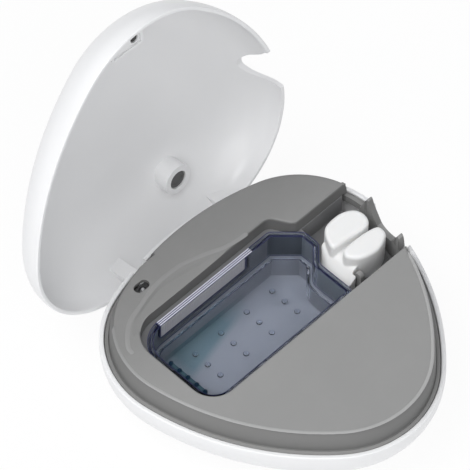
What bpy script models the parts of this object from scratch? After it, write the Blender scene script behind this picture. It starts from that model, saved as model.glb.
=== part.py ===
"""Sanitizer case for a toothbrush and dentures: a clamshell with a lamp-lit bath tray and a brush rest.

The frame has +Z up and the hinge along X at the back (+Y). The origin lies at the middle of the case's
plan, on the surface that the case stands on. The lid stands open at its stop.
"""
import math

import bmesh
import bpy
from mathutils import Matrix, Vector

MM = 0.001

# General fits
FIT_GAP = 0.3 * MM
OVERRUN = 6.0 * MM
SHARPEST_RADIUS = 0.05 * MM

# Case outline, the same for base and lid
CASE_WIDTH = 160.0 * MM
CASE_DEPTH = 156.7 * MM
FRONT_RADIUS = 51.9 * MM
CORNER_RADIUS = 49.1 * MM
BACK_RADIUS = 148.7 * MM
FLANK_RADIUS = 136.0 * MM
FLANK_STEPS = 8
CORNER_STEPS = 12
BACK_STEPS = 8
FRONT_STEPS = 12

# Lower shell
RIM_HEIGHT = 33.0 * MM
UNDERSIDE_HEIGHT = 1.5 * MM
SHELL_WALL = 2.3 * MM
BOWL_BAND = 3.0 * MM
BOWL_RUN = 42.0 * MM
BOWL_DROP = 32.0 * MM
RIM_SOFTENING = 0.5 * MM
BOWL_STEPS = 7

# Lid dome
LID_OPEN_ANGLE = math.radians(98.0)
LID_WALL = 2.1 * MM
DOME_BAND = 2.5 * MM
DOME_RUN = 42.0 * MM
DOME_RISE = 27.0 * MM
DOME_STEPS = 7

# Hinge
HINGE_INSET = 10.6 * MM
HINGE_DROP = 9.13 * MM
# Arm places, as shares of the case's width
ARM_SHARES = (-0.1519, 0.2356)
ARM_WIDTH = 8.0 * MM
ARM_FACE_SETBACK = 1.35 * MM
ARM_TAIL_SETBACK = 4.1 * MM
ARM_TAIL_DROP = 6.5 * MM
ARM_TAIL_RISE = 4.5 * MM
KNUCKLE_RADIUS = 4.4 * MM
KNUCKLE_STEPS = 12
PIN_RADIUS = 1.5 * MM
PIN_STEPS = 12
EAR_WALL = 2.5 * MM
EAR_CLEARANCE = 0.4 * MM
EAR_RADIUS = 4.4 * MM
ARM_SLOT_DEPTH = 18.0 * MM
ARM_SLOT_CLEARANCE = 0.5 * MM

# Deck: lip inside the rim, raised island and its soft shoulder
DECK_WALL = 1.8 * MM
LIP_DROP = 0.6 * MM
LIP_DEPTH = 2.1 * MM
LIP_WIDTH = 1.7 * MM
LIP_GROOVE_WIDTH = 0.4 * MM
LIP_GROOVE_DEPTH = 0.5 * MM
PLATEAU_RISE = 11.0 * MM
SHOULDER_RADIUS = 5.0 * MM
SHOULDER_STEPS = 4

# Cavity cut into the deck, as shares of the case's depth and width left before, behind and beside it
FRONT_DECK_SHARE = 0.4416
REAR_DECK_SHARE = 0.2017
LEFT_DECK_SHARE = 0.12375
BAY_REAR_SHARE = 0.2738
CAVITY_STEP_SHARE = 0.24
CAVITY_STEP_LEAN = 6.4 * MM
CAVITY_FRONT_RADIUS = 12.0 * MM
CAVITY_REAR_RADIUS = 16.0 * MM
CAVITY_STEP_RADIUS = 5.0 * MM
CORNER_ARC_STEPS = 5
COLLAR_WALL = 1.8 * MM
RING_WALL = 3.0 * MM

# Dished deck behind the bath
DISH_DEPTH = 1.2 * MM
DISH_REACH = 4.0 * MM
# Ridge as shares of the cavity's length, of the deck's width behind it and of the dish's depth
RIDGE_SHARES = (
    (0.010, -0.06, 0.15), (0.046, 0.045, 0.60), (0.099, 0.13, 0.90), (0.165, 0.205, 1.00),
    (0.238, 0.25, 1.00), (0.313, 0.21, 1.00), (0.421, 0.128, 0.90), (0.491, 0.058, 0.70),
    (0.560, 0.01, 0.30),
)

# Low ring wall with two horns, at the handle opening
OPENING_SHARE = 0.1787
OPENING_SETBACK_SHARE = 0.3555
RING_SHELF_RISE = 1.5 * MM
SADDLE_SINK = 0.7 * MM
APRON_DEPTH = 12.4 * MM
BASE_NOTCH_DEPTH = 11.0 * MM
LID_NOTCH_HEIGHT = 17.6 * MM
NOTCH_STEPS = 10
# Ring wall top from back to front: along the opening's width, and up to the plateau
RING_TOP_SHARES = (
    (0.090, 1.00), (0.000, 0.80), (-0.048, 1.00), (-0.078, 0.95), (-0.140, 0.66), (-0.260, 0.30),
    (-0.350, 0.07), (-0.435, 0.00), (-0.560, 0.02), (-0.680, 0.12), (-0.770, 0.24), (-0.830, 0.46),
    (-0.880, 0.80), (-0.925, 1.00), (-0.990, 0.92), (-1.040, 0.50), (-1.070, 0.22),
)
# Lid notch edge from back to front: along the opening's width, and up to the notch's height
LID_NOTCH_SHARES = (
    (0.000, 0.00), (-0.025, 0.34), (-0.068, 0.62), (-0.168, 0.84), (-0.339, 0.98), (-0.464, 1.00),
    (-0.589, 0.94), (-0.689, 0.74), (-0.732, 0.54), (-0.804, 0.34), (-0.946, 0.14), (-1.000, 0.00),
)

# Bath tray
TRAY_TOP = 4.5 * MM
TRAY_FLANGE_WIDTH = 2.7 * MM
TRAY_FLANGE = 1.4 * MM
TRAY_WALL = 1.4 * MM
TRAY_SIDE_GAP = 1.7 * MM
TRAY_FRONT_GAP = 1.2 * MM
TRAY_REAR_GAP = 2.5 * MM
TRAY_RIGHT_SHARE = 0.2125
TRAY_BULGE = 8.0 * MM
TRAY_BULGE_SHARE = 0.408
TRAY_CHAMFER_SHARE = 0.2299
TRAY_CORNER_RADIUS = 4.0 * MM
TRAY_LEDGE_DROP = 15.0 * MM
TRAY_LEDGE = 2.8 * MM
TRAY_FLOOR_DROP = 27.5 * MM
TRAY_BLEND = 2.0 * MM
PIP_RADIUS = 1.5 * MM
PIP_RISE = 0.7 * MM
PIP_STEPS = 8
PIP_COLUMNS = 4
PIP_ROWS = 3
# Pitches and first place of the pips, as shares of the tray's length and width
PIP_PITCH_SHARES = (0.1838, 0.1571)
PIP_START_SHARES = (0.3135, 0.2261)

# Strainer comb inside the tray
COMB_PEGS = 5
COMB_PITCH_SHARE = 0.1054
PEG_RADIUS = 1.2 * MM
PEG_HEIGHT = 23.0 * MM
PEG_STEPS = 10
COMB_BAND = 1.4 * MM
COMB_BAND_HEIGHT = 15.0 * MM
COMB_BACK_SHARE = 0.3429

# Well under the tray, with the brush bay beside it
WELL_WALL = 1.6 * MM
WELL_CLEARANCE = 0.6 * MM
WELL_FLANGE = 1.6 * MM
WELL_FLOOR = 1.5 * MM
BAY_FLOOR_DROP = 9.5 * MM
BAY_RIM_DROP = 1.3 * MM
DRAIN_POST_SHARE = 0.2775
DRAIN_POST_GAP = 8.3 * MM
DRAIN_POST_WIDTH = 4.6 * MM
DRAIN_POST_THICKNESS = 2.4 * MM
DRAIN_POST_HEIGHT = 11.6 * MM
DRAIN_POST_STEPS = 6

# Brush rest
# Place and length as shares of the case's width, and width as a share of the handle opening's
REST_PLACE_SHARE = 0.34375
REST_LENGTH_SHARE = 0.15375
REST_WIDTH_SHARE = 1.0643
REST_RISE = 9.0 * MM
REST_OFFSET = 3.2 * MM
REST_STEPS = 28
REST_SOFTENING = 1.0 * MM
GROOVE_OFFSET = 2.7 * MM
GROOVE_SLANT = 0.8 * MM
GROOVE_WIDTH = 1.9 * MM
GROOVE_FAR_WIDTH = 1.2 * MM
GROOVE_MOUTH = 3.6 * MM
GROOVE_DEPTH = 6.0 * MM
GROOVE_FALL = 1.2 * MM
REST_FITTING = 0.6 * MM
REST_RAMP_GAP = 8.5 * MM
REST_RAMP_RISE = 3.4 * MM
REST_RAMP_FALL = 3.0 * MM

# Lamp behind the bath
LAMP_END_SHARES = (-0.25313, 0.10625)
WINDOW_HEIGHT = 11.0 * MM
WINDOW_DROP = 0.8 * MM
WINDOW_LAP = 1.5 * MM
WINDOW_PANE = 1.5 * MM
LAMP_RADIUS = 3.4 * MM
LAMP_STEPS = 16
LAMP_CAP_LENGTH = 6.0 * MM
LAMP_CAP_DEPTH = 9.4 * MM
LAMP_CAP_HEIGHT = 10.6 * MM
LAMP_GRIP = 3.0 * MM
REFLECTOR_SHEET = 0.6 * MM
REFLECTOR_DEPTH = 9.2 * MM
LAMP_SHELF = 1.6 * MM

# Lid switch seen in the deck's oval hole
SWITCH_SHARE = -0.23125
# Place behind the cavity, as a share of the deck there
SWITCH_GAP_SHARE = 0.3987
SWITCH_HOLE_OFFSET = 0.8 * MM
SWITCH_BODY_OFFSET = 0.8 * MM
SWITCH_HOLE_LENGTH = 8.3 * MM
SWITCH_HOLE_WIDTH = 5.0 * MM
SWITCH_HOLE_STEPS = 8
PLUNGER_RADIUS = 1.6 * MM
PLUNGER_SINK = 1.4 * MM
PLUNGER_LENGTH = 5.6 * MM
PLUNGER_TRAVEL = 1.2 * MM
SWITCH_LENGTH = 10.0 * MM
SWITCH_WIDTH = 7.0 * MM
SWITCH_HEIGHT = 8.0 * MM

# Sensor boss of the lid, with the sensor that it meets
BOSS_SHARE = 0.14375
BOSS_GAP_SHARE = 0.193
BOSS_RADIUS = 8.0 * MM
BOSS_FACE = 17.0 * MM
BOSS_BORE_RADIUS = 5.6 * MM
BOSS_BORE_DEPTH = 4.0 * MM
BOSS_STEPS = 20
MAGNET_HEIGHT = 3.2 * MM
SENSOR_LENGTH = 16.0 * MM
SENSOR_WIDTH = 4.0 * MM
SENSOR_HEIGHT = 4.0 * MM

# Magnetic catch at the front of the lid
CATCH_WIDTH = 20.0 * MM
CATCH_REACH = 23.7 * MM
CATCH_FACE = 14.0 * MM
CATCH_CORNER = 3.0 * MM
CATCH_WALL = 1.6 * MM
CATCH_POCKET_LENGTH = 12.0 * MM
CATCH_POCKET_DEPTH = 1.0 * MM
CATCH_MAGNET_X = 5.3 * MM
CATCH_MAGNET_REACH = 19.0 * MM
CATCH_MAGNET_RADIUS = 2.0 * MM
CATCH_BORE_DEPTH = 3.0 * MM
STEEL_LENGTH = 16.0 * MM
STEEL_WIDTH = 8.0 * MM
STEEL_THICKNESS = 1.5 * MM

# Case screws, from below
FRONT_SCREW_SHARES = (-0.225, 0.225)
FRONT_SCREW_GAP = 14.5 * MM
REAR_SCREW_SHARES = (-0.1875, 0.05)
REAR_SCREW_GAP = 2.6 * MM
SCREW_BOSS_RADIUS = 3.4 * MM
SCREW_PAD_RADIUS = 5.2 * MM
SCREW_PAD_TOP = 7.0 * MM
SCREW_HEAD_RADIUS = 2.9 * MM
SCREW_HEAD = 1.4 * MM
SCREW_RADIUS = 1.3 * MM
SCREW_LENGTH = 12.0 * MM
SCREW_SINK = 2.0 * MM
SCREW_CLEARANCE = 0.35 * MM
SCREW_SOCKET_RADIUS = 1.1 * MM
SCREW_SOCKET_DEPTH = 0.8 * MM
SCREW_STEPS = 12

# Circuit board and what stands on it
# Length as a share of the case's width, and width as a share of the deck before the cavity
BOARD_LENGTH_SHARE = 0.35
BOARD_WIDTH_SHARE = 0.4913
BOARD_THICKNESS = 1.6 * MM
BOARD_GAP = 7.8 * MM
BOARD_HEIGHT = 13.3 * MM
POST_RADIUS = 3.0 * MM
POST_INSET = 4.0 * MM
BOARD_SCREW_RADIUS = 0.9 * MM
BOARD_SCREW_HEAD_RADIUS = 1.9 * MM
BOARD_SCREW_HEAD = 1.2 * MM
BOARD_SCREW_LENGTH = 6.0 * MM
COIL_LENGTH = 18.0 * MM
COIL_WIDTH = 15.0 * MM
COIL_HEIGHT = 13.0 * MM
COIL_SHARE = -0.2321
COIL_FLANGE = 1.6 * MM
COIL_RECESS = 1.8 * MM
CAPACITOR_RADIUS = 4.5 * MM
CAPACITOR_HEIGHT = 13.0 * MM
CAPACITOR_SHARE = 0.125
CHIP_LENGTH = 10.0 * MM
CHIP_HEIGHT = 2.0 * MM
CHIP_SHARE = 0.3393

# Power inlet in the back wall
INLET_DROP = 13.0 * MM
INLET_WIDTH = 9.4 * MM
INLET_HEIGHT = 9.4 * MM
INLET_GAP = 2.4 * MM
INLET_NOSE_RADIUS = 4.2 * MM
INLET_RECESS = 1.0 * MM
INLET_BORE_RADIUS = 2.9 * MM
INLET_BORE_DEPTH = 9.0 * MM
INLET_PIN_RADIUS = 0.9 * MM
INLET_STEPS = 16

# Standing pad under the base
PAD_LENGTH = 84.0 * MM
PAD_WIDTH = 60.0 * MM
PAD_RADIUS = 26.0 * MM

# Places worked out from the sizes
corner_x = CASE_WIDTH / 2 - CORNER_RADIUS
back_drop = math.sqrt((BACK_RADIUS - CORNER_RADIUS) ** 2 - corner_x ** 2)
corner_y = CASE_DEPTH / 2 - BACK_RADIUS + back_drop
front_y = FRONT_RADIUS - CASE_DEPTH / 2
back_y = CASE_DEPTH / 2


def flank_centre():
    """Centre of the right flank's arc, which runs on into the front arc and the rear corner."""
    to_front = FLANK_RADIUS - FRONT_RADIUS
    to_corner = FLANK_RADIUS - CORNER_RADIUS
    span = Vector((corner_x, corner_y - front_y))
    along = (to_front ** 2 - to_corner ** 2 + span.length_squared) / (2 * span.length)
    across = math.sqrt(to_front ** 2 - along ** 2)
    unit = span.normalized()
    foot = Vector((0, front_y)) + unit * along
    return foot + Vector((-unit.y, unit.x)) * across


flank = flank_centre()
front_turn = math.atan2(front_y - flank.y, -flank.x)
corner_turn = math.atan2(corner_y - flank.y, corner_x - flank.x)
back_turn = math.atan2(back_drop, corner_x)

hinge_y = back_y - HINGE_INSET
hinge_z = RIM_HEIGHT - HINGE_DROP
lid_rim = RIM_HEIGHT + FIT_GAP
plateau_z = RIM_HEIGHT + PLATEAU_RISE
deck_under = plateau_z - DECK_WALL
lip_inset = SHELL_WALL + FIT_GAP
island_inset = lip_inset + LIP_WIDTH + LIP_GROOVE_WIDTH
ring_inset = island_inset + RING_WALL
front_deck = CASE_DEPTH * FRONT_DECK_SHARE
rear_deck = CASE_DEPTH * REAR_DECK_SHARE
cavity_front = front_deck - CASE_DEPTH / 2
cavity_back = back_y - rear_deck
cavity_left = CASE_WIDTH * LEFT_DECK_SHARE - CASE_WIDTH / 2
cavity_step = CASE_WIDTH * CAVITY_STEP_SHARE
bay_back = back_y - CASE_DEPTH * BAY_REAR_SHARE
opening_width = CASE_DEPTH * OPENING_SHARE
opening_back = back_y - CASE_DEPTH * OPENING_SETBACK_SHARE
opening_middle = opening_back - opening_width / 2
arm_places = [("left", CASE_WIDTH * ARM_SHARES[0]), ("right", CASE_WIDTH * ARM_SHARES[1])]
tray_left = cavity_left + TRAY_SIDE_GAP
tray_right = CASE_WIDTH * TRAY_RIGHT_SHARE
tray_front = cavity_front + TRAY_FRONT_GAP
tray_back = cavity_back - TRAY_REAR_GAP
tray_length = tray_right - tray_left
tray_width = tray_back - tray_front
bulge_step = tray_back - tray_width * TRAY_BULGE_SHARE
tray_chamfer = tray_width * TRAY_CHAMFER_SHARE
post_middle = CASE_WIDTH * DRAIN_POST_SHARE
lamp_left, lamp_right = [CASE_WIDTH * share for share in LAMP_END_SHARES]
switch_x = CASE_WIDTH * SWITCH_SHARE
boss_x = CASE_WIDTH * BOSS_SHARE
tray_z = RIM_HEIGHT + TRAY_TOP
flange_under = tray_z - TRAY_FLANGE
well_top = flange_under - FIT_GAP
collar_bottom = well_top + FIT_GAP
ledge_z = tray_z - TRAY_LEDGE_DROP
tray_floor = tray_z - TRAY_FLOOR_DROP
bay_floor = RIM_HEIGHT - BAY_FLOOR_DROP
bay_rim = RIM_HEIGHT - BAY_RIM_DROP
well_inset = ring_inset + FIT_GAP


def arc_points(centre, radius, start, end, steps):
    """Points along an arc, with its last point left to the next stretch."""
    span = end - start
    angles = [start + span * i / steps for i in range(steps)]
    return [(centre[0] + radius * math.cos(a), centre[1] + radius * math.sin(a)) for a in angles]


def outline(inset):
    """Case outline drawn in by an inset, counterclockwise from the front's left end."""
    left_flank = (-flank.x, flank.y)
    turn = math.pi
    points = arc_points((0, front_y), FRONT_RADIUS - inset, -turn - front_turn, front_turn, FRONT_STEPS)
    points += arc_points(flank, FLANK_RADIUS - inset, front_turn, corner_turn, FLANK_STEPS)
    points += arc_points((corner_x, corner_y), CORNER_RADIUS - inset, corner_turn, back_turn, CORNER_STEPS)
    points += arc_points((0, corner_y - back_drop), BACK_RADIUS - inset, back_turn, turn - back_turn,
                         BACK_STEPS)
    points += arc_points((-corner_x, corner_y), CORNER_RADIUS - inset, turn - back_turn, turn - corner_turn,
                         CORNER_STEPS)
    points += arc_points(left_flank, FLANK_RADIUS - inset, turn - corner_turn, turn - front_turn,
                         FLANK_STEPS)
    return points


def side_x(inset, y):
    """Distance of the right side from the middle, at a place along the depth."""
    corner_start = corner_y + (CORNER_RADIUS - inset) * math.sin(corner_turn)
    flank_start = front_y + (FRONT_RADIUS - inset) * math.sin(front_turn)
    if y > corner_start:
        return corner_x + math.sqrt((CORNER_RADIUS - inset) ** 2 - (y - corner_y) ** 2)
    if y > flank_start:
        return flank.x + math.sqrt((FLANK_RADIUS - inset) ** 2 - (y - flank.y) ** 2)
    return math.sqrt((FRONT_RADIUS - inset) ** 2 - (y - front_y) ** 2)


def back_edge(inset, x):
    """Place of the back edge, at a place across the width."""
    return corner_y - back_drop + math.sqrt((BACK_RADIUS - inset) ** 2 - x ** 2)


def side_strip(inset, low, high, steps):
    """Points up the right side between two places along the depth."""
    return [(side_x(inset, y), y) for y in (low + (high - low) * i / steps for i in range(steps + 1))]


def inset_corners(corners, inset):
    """Corners (x, y, radius) of a counterclockwise path, drawn in by an inset."""
    result = []
    count = len(corners)
    for i in range(count):
        here = Vector(corners[i][:2])
        before = (here - Vector(corners[i - 1][:2])).normalized()
        after = (Vector(corners[(i + 1) % count][:2]) - here).normalized()
        turn = before.x * after.y - before.y * after.x
        bisector = Vector((-before.y - after.y, before.x + after.x))
        moved = here + bisector * (2 * inset / bisector.length_squared)
        radius = corners[i][2]
        if radius > 0:
            radius = max(radius - inset if turn > 0 else radius + inset, SHARPEST_RADIUS)
        result.append((moved.x, moved.y, radius))
    return result


def rounded(corners):
    """Path through corners (x, y, radius), each radius an arc and each zero a sharp point."""
    points = []
    count = len(corners)
    for i in range(count):
        here = Vector(corners[i][:2])
        radius = corners[i][2]
        if radius == 0:
            points.append((here.x, here.y))
            continue
        before = (here - Vector(corners[i - 1][:2])).normalized()
        after = (Vector(corners[(i + 1) % count][:2]) - here).normalized()
        turn = math.atan2(before.x * after.y - before.y * after.x, before.dot(after))
        reach = radius * math.tan(abs(turn) / 2)
        side = math.copysign(1, turn)
        normal = Vector((-before.y, before.x)) * side
        centre = here - before * reach + normal * radius
        start = math.atan2(-normal.y, -normal.x)
        for k in range(CORNER_ARC_STEPS + 1):
            angle = start + turn * k / CORNER_ARC_STEPS
            points.append((centre.x + radius * math.cos(angle), centre.y + radius * math.sin(angle)))
    return points


def level(points, z):
    """Plan points at one height."""
    return [(x, y, z) for x, y in points]


def loft(rings):
    """Closed shape through rings of equal count, capped at its first and last ring."""
    count = len(rings[0])
    verts = [p for ring in rings for p in ring]
    faces = [tuple(range(count))[::-1], tuple(range(len(verts) - count, len(verts)))]
    for k in range(len(rings) - 1):
        low = k * count
        for i in range(count):
            j = (i + 1) % count
            faces.append((low + i, low + j, low + count + j, low + count + i))
    return verts, faces


def prism(points, low, high):
    """Plan outline carried from one height to another."""
    return loft([level(points, low), level(points, high)])


def slab(points, low, high):
    """Outline in the YZ plane carried from one X to another."""
    return loft([[(low, y, z) for y, z in points], [(high, y, z) for y, z in points]])


def profile_y(points, low, high):
    """Outline in the XZ plane carried from one Y to another."""
    return loft([[(x, low, z) for x, z in points], [(x, high, z) for x, z in points]])


def box(low, high):
    """Block between two opposite corners."""
    plan = [(low[0], low[1]), (high[0], low[1]), (high[0], high[1]), (low[0], high[1])]
    return prism(plan, low[2], high[2])


def turned(centre, axis, profile, steps):
    """Round shape on an axis through rings (radius, distance along the axis)."""
    axis = Vector(axis)
    side = axis.orthogonal().normalized()
    other = axis.cross(side)
    rings = []
    for radius, along in profile:
        ring = []
        for i in range(steps):
            angle = math.tau * i / steps
            place = Vector(centre) + axis * along + (side * math.cos(angle) + other * math.sin(angle)) * radius
            ring.append(tuple(place))
        rings.append(ring)
    return loft(rings)


def rod(start, axis, radius, length, steps):
    """Plain round bar from a point along an axis."""
    return turned(start, axis, [(radius, 0), (radius, length)], steps)


def finish(name, colour, roughness, metallic=0.0, clear=0.0):
    """Material of one kind of sub-part."""
    material = bpy.data.materials.new(name)
    material.use_nodes = True
    shader = material.node_tree.nodes["Principled BSDF"]
    shader.inputs["Base Color"].default_value = (*colour, 1.0)
    shader.inputs["Roughness"].default_value = roughness
    shader.inputs["Metallic"].default_value = metallic
    shader.inputs["Transmission Weight"].default_value = clear
    material.diffuse_color = (*colour, 1.0)
    return material


def place(name, shapes, material=None):
    """Object made of one or more shapes; without a material it is a guide that only cuts or joins."""
    work = bmesh.new()
    for verts, faces in shapes:
        made = [work.verts.new(v) for v in verts]
        for face in faces:
            work.faces.new([made[i] for i in face])
    bmesh.ops.recalc_face_normals(work, faces=work.faces)
    mesh = bpy.data.meshes.new(name)
    work.to_mesh(mesh)
    work.free()
    obj = bpy.data.objects.new(name, mesh)
    bpy.context.scene.collection.objects.link(obj)
    if material is None:
        obj.hide_render = True
        obj.display_type = "WIRE"
        return obj
    mesh.materials.append(material)
    mesh.shade_smooth()
    mesh.set_sharp_from_angle(angle=math.radians(32.0))
    return obj


def shape_by(obj, tool, operation):
    """Joins, cuts or trims an object with a guide."""
    step = obj.modifiers.new(tool.name, "BOOLEAN")
    step.operation = operation
    step.solver = "EXACT"
    step.object = tool
    return obj


def join(obj, name, shapes):
    """Adds shapes to an object."""
    return shape_by(obj, place(name, shapes), "UNION")


def cut(obj, name, shapes):
    """Takes shapes out of an object."""
    return shape_by(obj, place(name, shapes), "DIFFERENCE")


def carry(children, name, point):
    """Empty on a joint's axis that carries a moving piece and its guides."""
    pivot = bpy.data.objects.new(name, None)
    bpy.context.scene.collection.objects.link(pivot)
    pivot.location = point
    for child in children:
        child.parent = pivot
        child.matrix_parent_inverse = Matrix.Translation(-Vector(point))
    return pivot


def bowl_ring(share, end_angle, wall):
    """Inset and height of the bowl's surface, from its band (0) to its floor (1)."""
    angle = end_angle * share
    inset = wall + (BOWL_RUN - wall) * (1 - math.cos(angle))
    return inset, RIM_HEIGHT - BOWL_BAND - (BOWL_DROP - wall) * math.sin(angle)


def bowl_end(wall):
    """Angle at which the bowl's curve meets its flat floor."""
    drop = RIM_HEIGHT - BOWL_BAND - UNDERSIDE_HEIGHT - wall
    return math.asin(drop / (BOWL_DROP - wall))


def bowl_inset(wall, z):
    """Inset of the bowl's surface at one height below its band."""
    sine = (RIM_HEIGHT - BOWL_BAND - z) / (BOWL_DROP - wall)
    return wall + (BOWL_RUN - wall) * (1 - math.sqrt(1 - sine ** 2))


def bowl_rings(wall):
    """Rings of the bowl's surface from its floor up to its band."""
    end = bowl_end(wall)
    rings = [bowl_ring(1 - i / BOWL_STEPS, end, wall) for i in range(BOWL_STEPS + 1)]
    return [level(outline(inset), z) for inset, z in rings]


def dome_rings(wall, rim):
    """Rings of the dome's surface from its crown down to its band."""
    rings = []
    for i in range(DOME_STEPS + 1):
        angle = math.pi / 2 * (1 - i / DOME_STEPS)
        inset = wall + (DOME_RUN - wall) * (1 - math.cos(angle))
        rings.append(level(outline(inset), rim + DOME_BAND + (DOME_RISE - wall) * math.sin(angle)))
    return rings


def cavity_corners():
    """Corners of the cavity in the deck, its right side following the ring wall."""
    bay = [(x, y, 0) for x, y in side_strip(ring_inset, cavity_front, bay_back, NOTCH_STEPS)]
    return [(cavity_left, cavity_front, CAVITY_FRONT_RADIUS), *bay,
            (cavity_step, bay_back, CAVITY_STEP_RADIUS),
            (cavity_step - CAVITY_STEP_LEAN, cavity_back, CAVITY_STEP_RADIUS),
            (cavity_left, cavity_back, CAVITY_REAR_RADIUS)]


def tray_corners():
    """Corners of the tray's flange."""
    bulge = tray_right + TRAY_BULGE
    return [(tray_left, tray_front, CAVITY_FRONT_RADIUS), (tray_right, tray_front, TRAY_CORNER_RADIUS),
            (tray_right, bulge_step - TRAY_BULGE, TRAY_CORNER_RADIUS),
            (bulge, bulge_step, TRAY_CORNER_RADIUS),
            (bulge, tray_back - tray_chamfer, TRAY_CORNER_RADIUS),
            (bulge - tray_chamfer, tray_back, TRAY_CORNER_RADIUS),
            (tray_left, tray_back, CAVITY_REAR_RADIUS)]


def opening_point(along_share, z):
    """Point on an edge of the handle opening, in the YZ plane."""
    return opening_back + opening_width * along_share, z


def ring_top():
    """Top edge of the ring wall from the back to the front of its cut."""
    low = RIM_HEIGHT - SADDLE_SINK
    high = plateau_z
    shelf = RIM_HEIGHT + RING_SHELF_RISE
    points = [(bay_back, shelf), opening_point(RING_TOP_SHARES[0][0], shelf)]
    points += [opening_point(along, low + (high - low) * up) for along, up in RING_TOP_SHARES[1:]]
    return points + [(cavity_front, points[-1][1])]


def notch_cut(depth):
    """Lower half of the handle opening, cut into the base's wall."""
    points = arc_points((0, 0), 1, math.pi, math.tau, NOTCH_STEPS) + [(1, 0)]
    low = [(opening_middle + opening_width / 2 * u, RIM_HEIGHT + depth * v) for u, v in points]
    return low + [(low[-1][0], RIM_HEIGHT + OVERRUN), (low[0][0], RIM_HEIGHT + OVERRUN)]


def knuckle_points(radius, start, end, steps):
    """Arc round the hinge axis, in the YZ plane."""
    points = arc_points((hinge_y, hinge_z), radius, start, end, steps)
    return points + [(hinge_y + radius * math.cos(end), hinge_z + radius * math.sin(end))]


def screw(name, x, y, low, head_radius, head, radius, length, upward, material):
    """Screw with a round socket in its head; upward it is driven from below."""
    axis = (0, 0, 1) if upward else (0, 0, -1)
    profile = [(SCREW_SOCKET_RADIUS, SCREW_SOCKET_DEPTH), (SCREW_SOCKET_RADIUS, 0), (head_radius, 0),
               (head_radius, head), (radius, head), (radius, head + length)]
    return place(name, [turned((x, y, low), axis, profile, SCREW_STEPS)], material)


for startup in list(bpy.data.objects):
    bpy.data.objects.remove(startup, do_unlink=True)

white = finish("white_gloss", (0.90, 0.90, 0.90), 0.25)
grey = finish("grey_satin", (0.30, 0.30, 0.30), 0.42)
dark_grey = finish("dark_grey_satin", (0.16, 0.16, 0.16), 0.45)
clear_blue = finish("clear_blue", (0.55, 0.62, 0.80), 0.08, clear=0.9)
teal = finish("dark_teal", (0.03, 0.09, 0.12), 0.35)
rest_white = finish("rest_white", (0.82, 0.82, 0.82), 0.45)
steel = finish("steel", (0.60, 0.60, 0.60), 0.30, metallic=1.0)
foil = finish("reflector_foil", (0.75, 0.76, 0.80), 0.20, metallic=1.0)
lamp_glass = finish("lamp_glass", (0.75, 0.75, 0.90), 0.10)
cap_plastic = finish("cap_plastic", (0.10, 0.10, 0.10), 0.50)
board_green = finish("board_green", (0.02, 0.16, 0.06), 0.40)
copper = finish("coil_copper", (0.55, 0.26, 0.10), 0.35, metallic=1.0)
capacitor_blue = finish("capacitor_sleeve", (0.02, 0.03, 0.14), 0.35)
black = finish("black_plastic", (0.02, 0.02, 0.02), 0.50)
rubber = finish("rubber", (0.12, 0.12, 0.12), 0.80)

# Lower shell: a bowl with a flat underside, hinge ears, board posts and screw pads
inner_rings = bowl_rings(SHELL_WALL)
outer_rings = bowl_rings(0)
rim_rings = [
    level(outline(SHELL_WALL), RIM_HEIGHT - RIM_SOFTENING),
    level(outline(SHELL_WALL - RIM_SOFTENING / 2), RIM_HEIGHT),
    level(outline(RIM_SOFTENING), RIM_HEIGHT), level(outline(0), RIM_HEIGHT - RIM_SOFTENING),
]
lower_shell = place("lower_shell", [loft(inner_rings + rim_rings + outer_rings[::-1])], white)

screw_places = [(CASE_WIDTH * share, cavity_front - FRONT_SCREW_GAP) for share in FRONT_SCREW_SHARES]
screw_places += [(CASE_WIDTH * share, cavity_back + REAR_SCREW_GAP) for share in REAR_SCREW_SHARES]
pad_shapes = [rod((x, y, UNDERSIDE_HEIGHT - OVERRUN), (0, 0, 1), SCREW_PAD_RADIUS,
                  SCREW_PAD_TOP - UNDERSIDE_HEIGHT + OVERRUN, SCREW_STEPS) for x, y in screw_places]

board_length = CASE_WIDTH * BOARD_LENGTH_SHARE
board_back = cavity_front - BOARD_GAP
board_front = board_back - front_deck * BOARD_WIDTH_SHARE
post_x = board_length / 2 - POST_INSET
post_rows = (board_front + POST_INSET, board_back - POST_INSET)
post_places = [(sx * post_x, y) for sx in (-1, 1) for y in post_rows]
post_top = BOARD_HEIGHT - FIT_GAP
post_shapes = [rod((x, y, UNDERSIDE_HEIGHT - OVERRUN), (0, 0, 1), POST_RADIUS,
                   post_top - UNDERSIDE_HEIGHT + OVERRUN, SCREW_STEPS) for x, y in post_places]

ear_spacing = ARM_WIDTH / 2 + EAR_CLEARANCE
ear_profile = knuckle_points(EAR_RADIUS, math.pi / 2, math.pi * 3 / 2, KNUCKLE_STEPS // 2)
ear_profile += [(back_y + OVERRUN, hinge_z - EAR_RADIUS), (back_y + OVERRUN, hinge_z + EAR_RADIUS)]
ear_shapes = []
for _, arm_x in arm_places:
    ear_shapes.append(slab(ear_profile, arm_x - ear_spacing - EAR_WALL, arm_x - ear_spacing))
    ear_shapes.append(slab(ear_profile, arm_x + ear_spacing, arm_x + ear_spacing + EAR_WALL))

fittings = place("shell_fittings", pad_shapes + post_shapes + ear_shapes)
core_rings = bowl_rings(SHELL_WALL / 2)
core_rings += [level(outline(SHELL_WALL / 2), RIM_HEIGHT)]
shape_by(fittings, place("shell_core", [loft(core_rings)]), "INTERSECT")
shape_by(lower_shell, fittings, "UNION")

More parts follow.
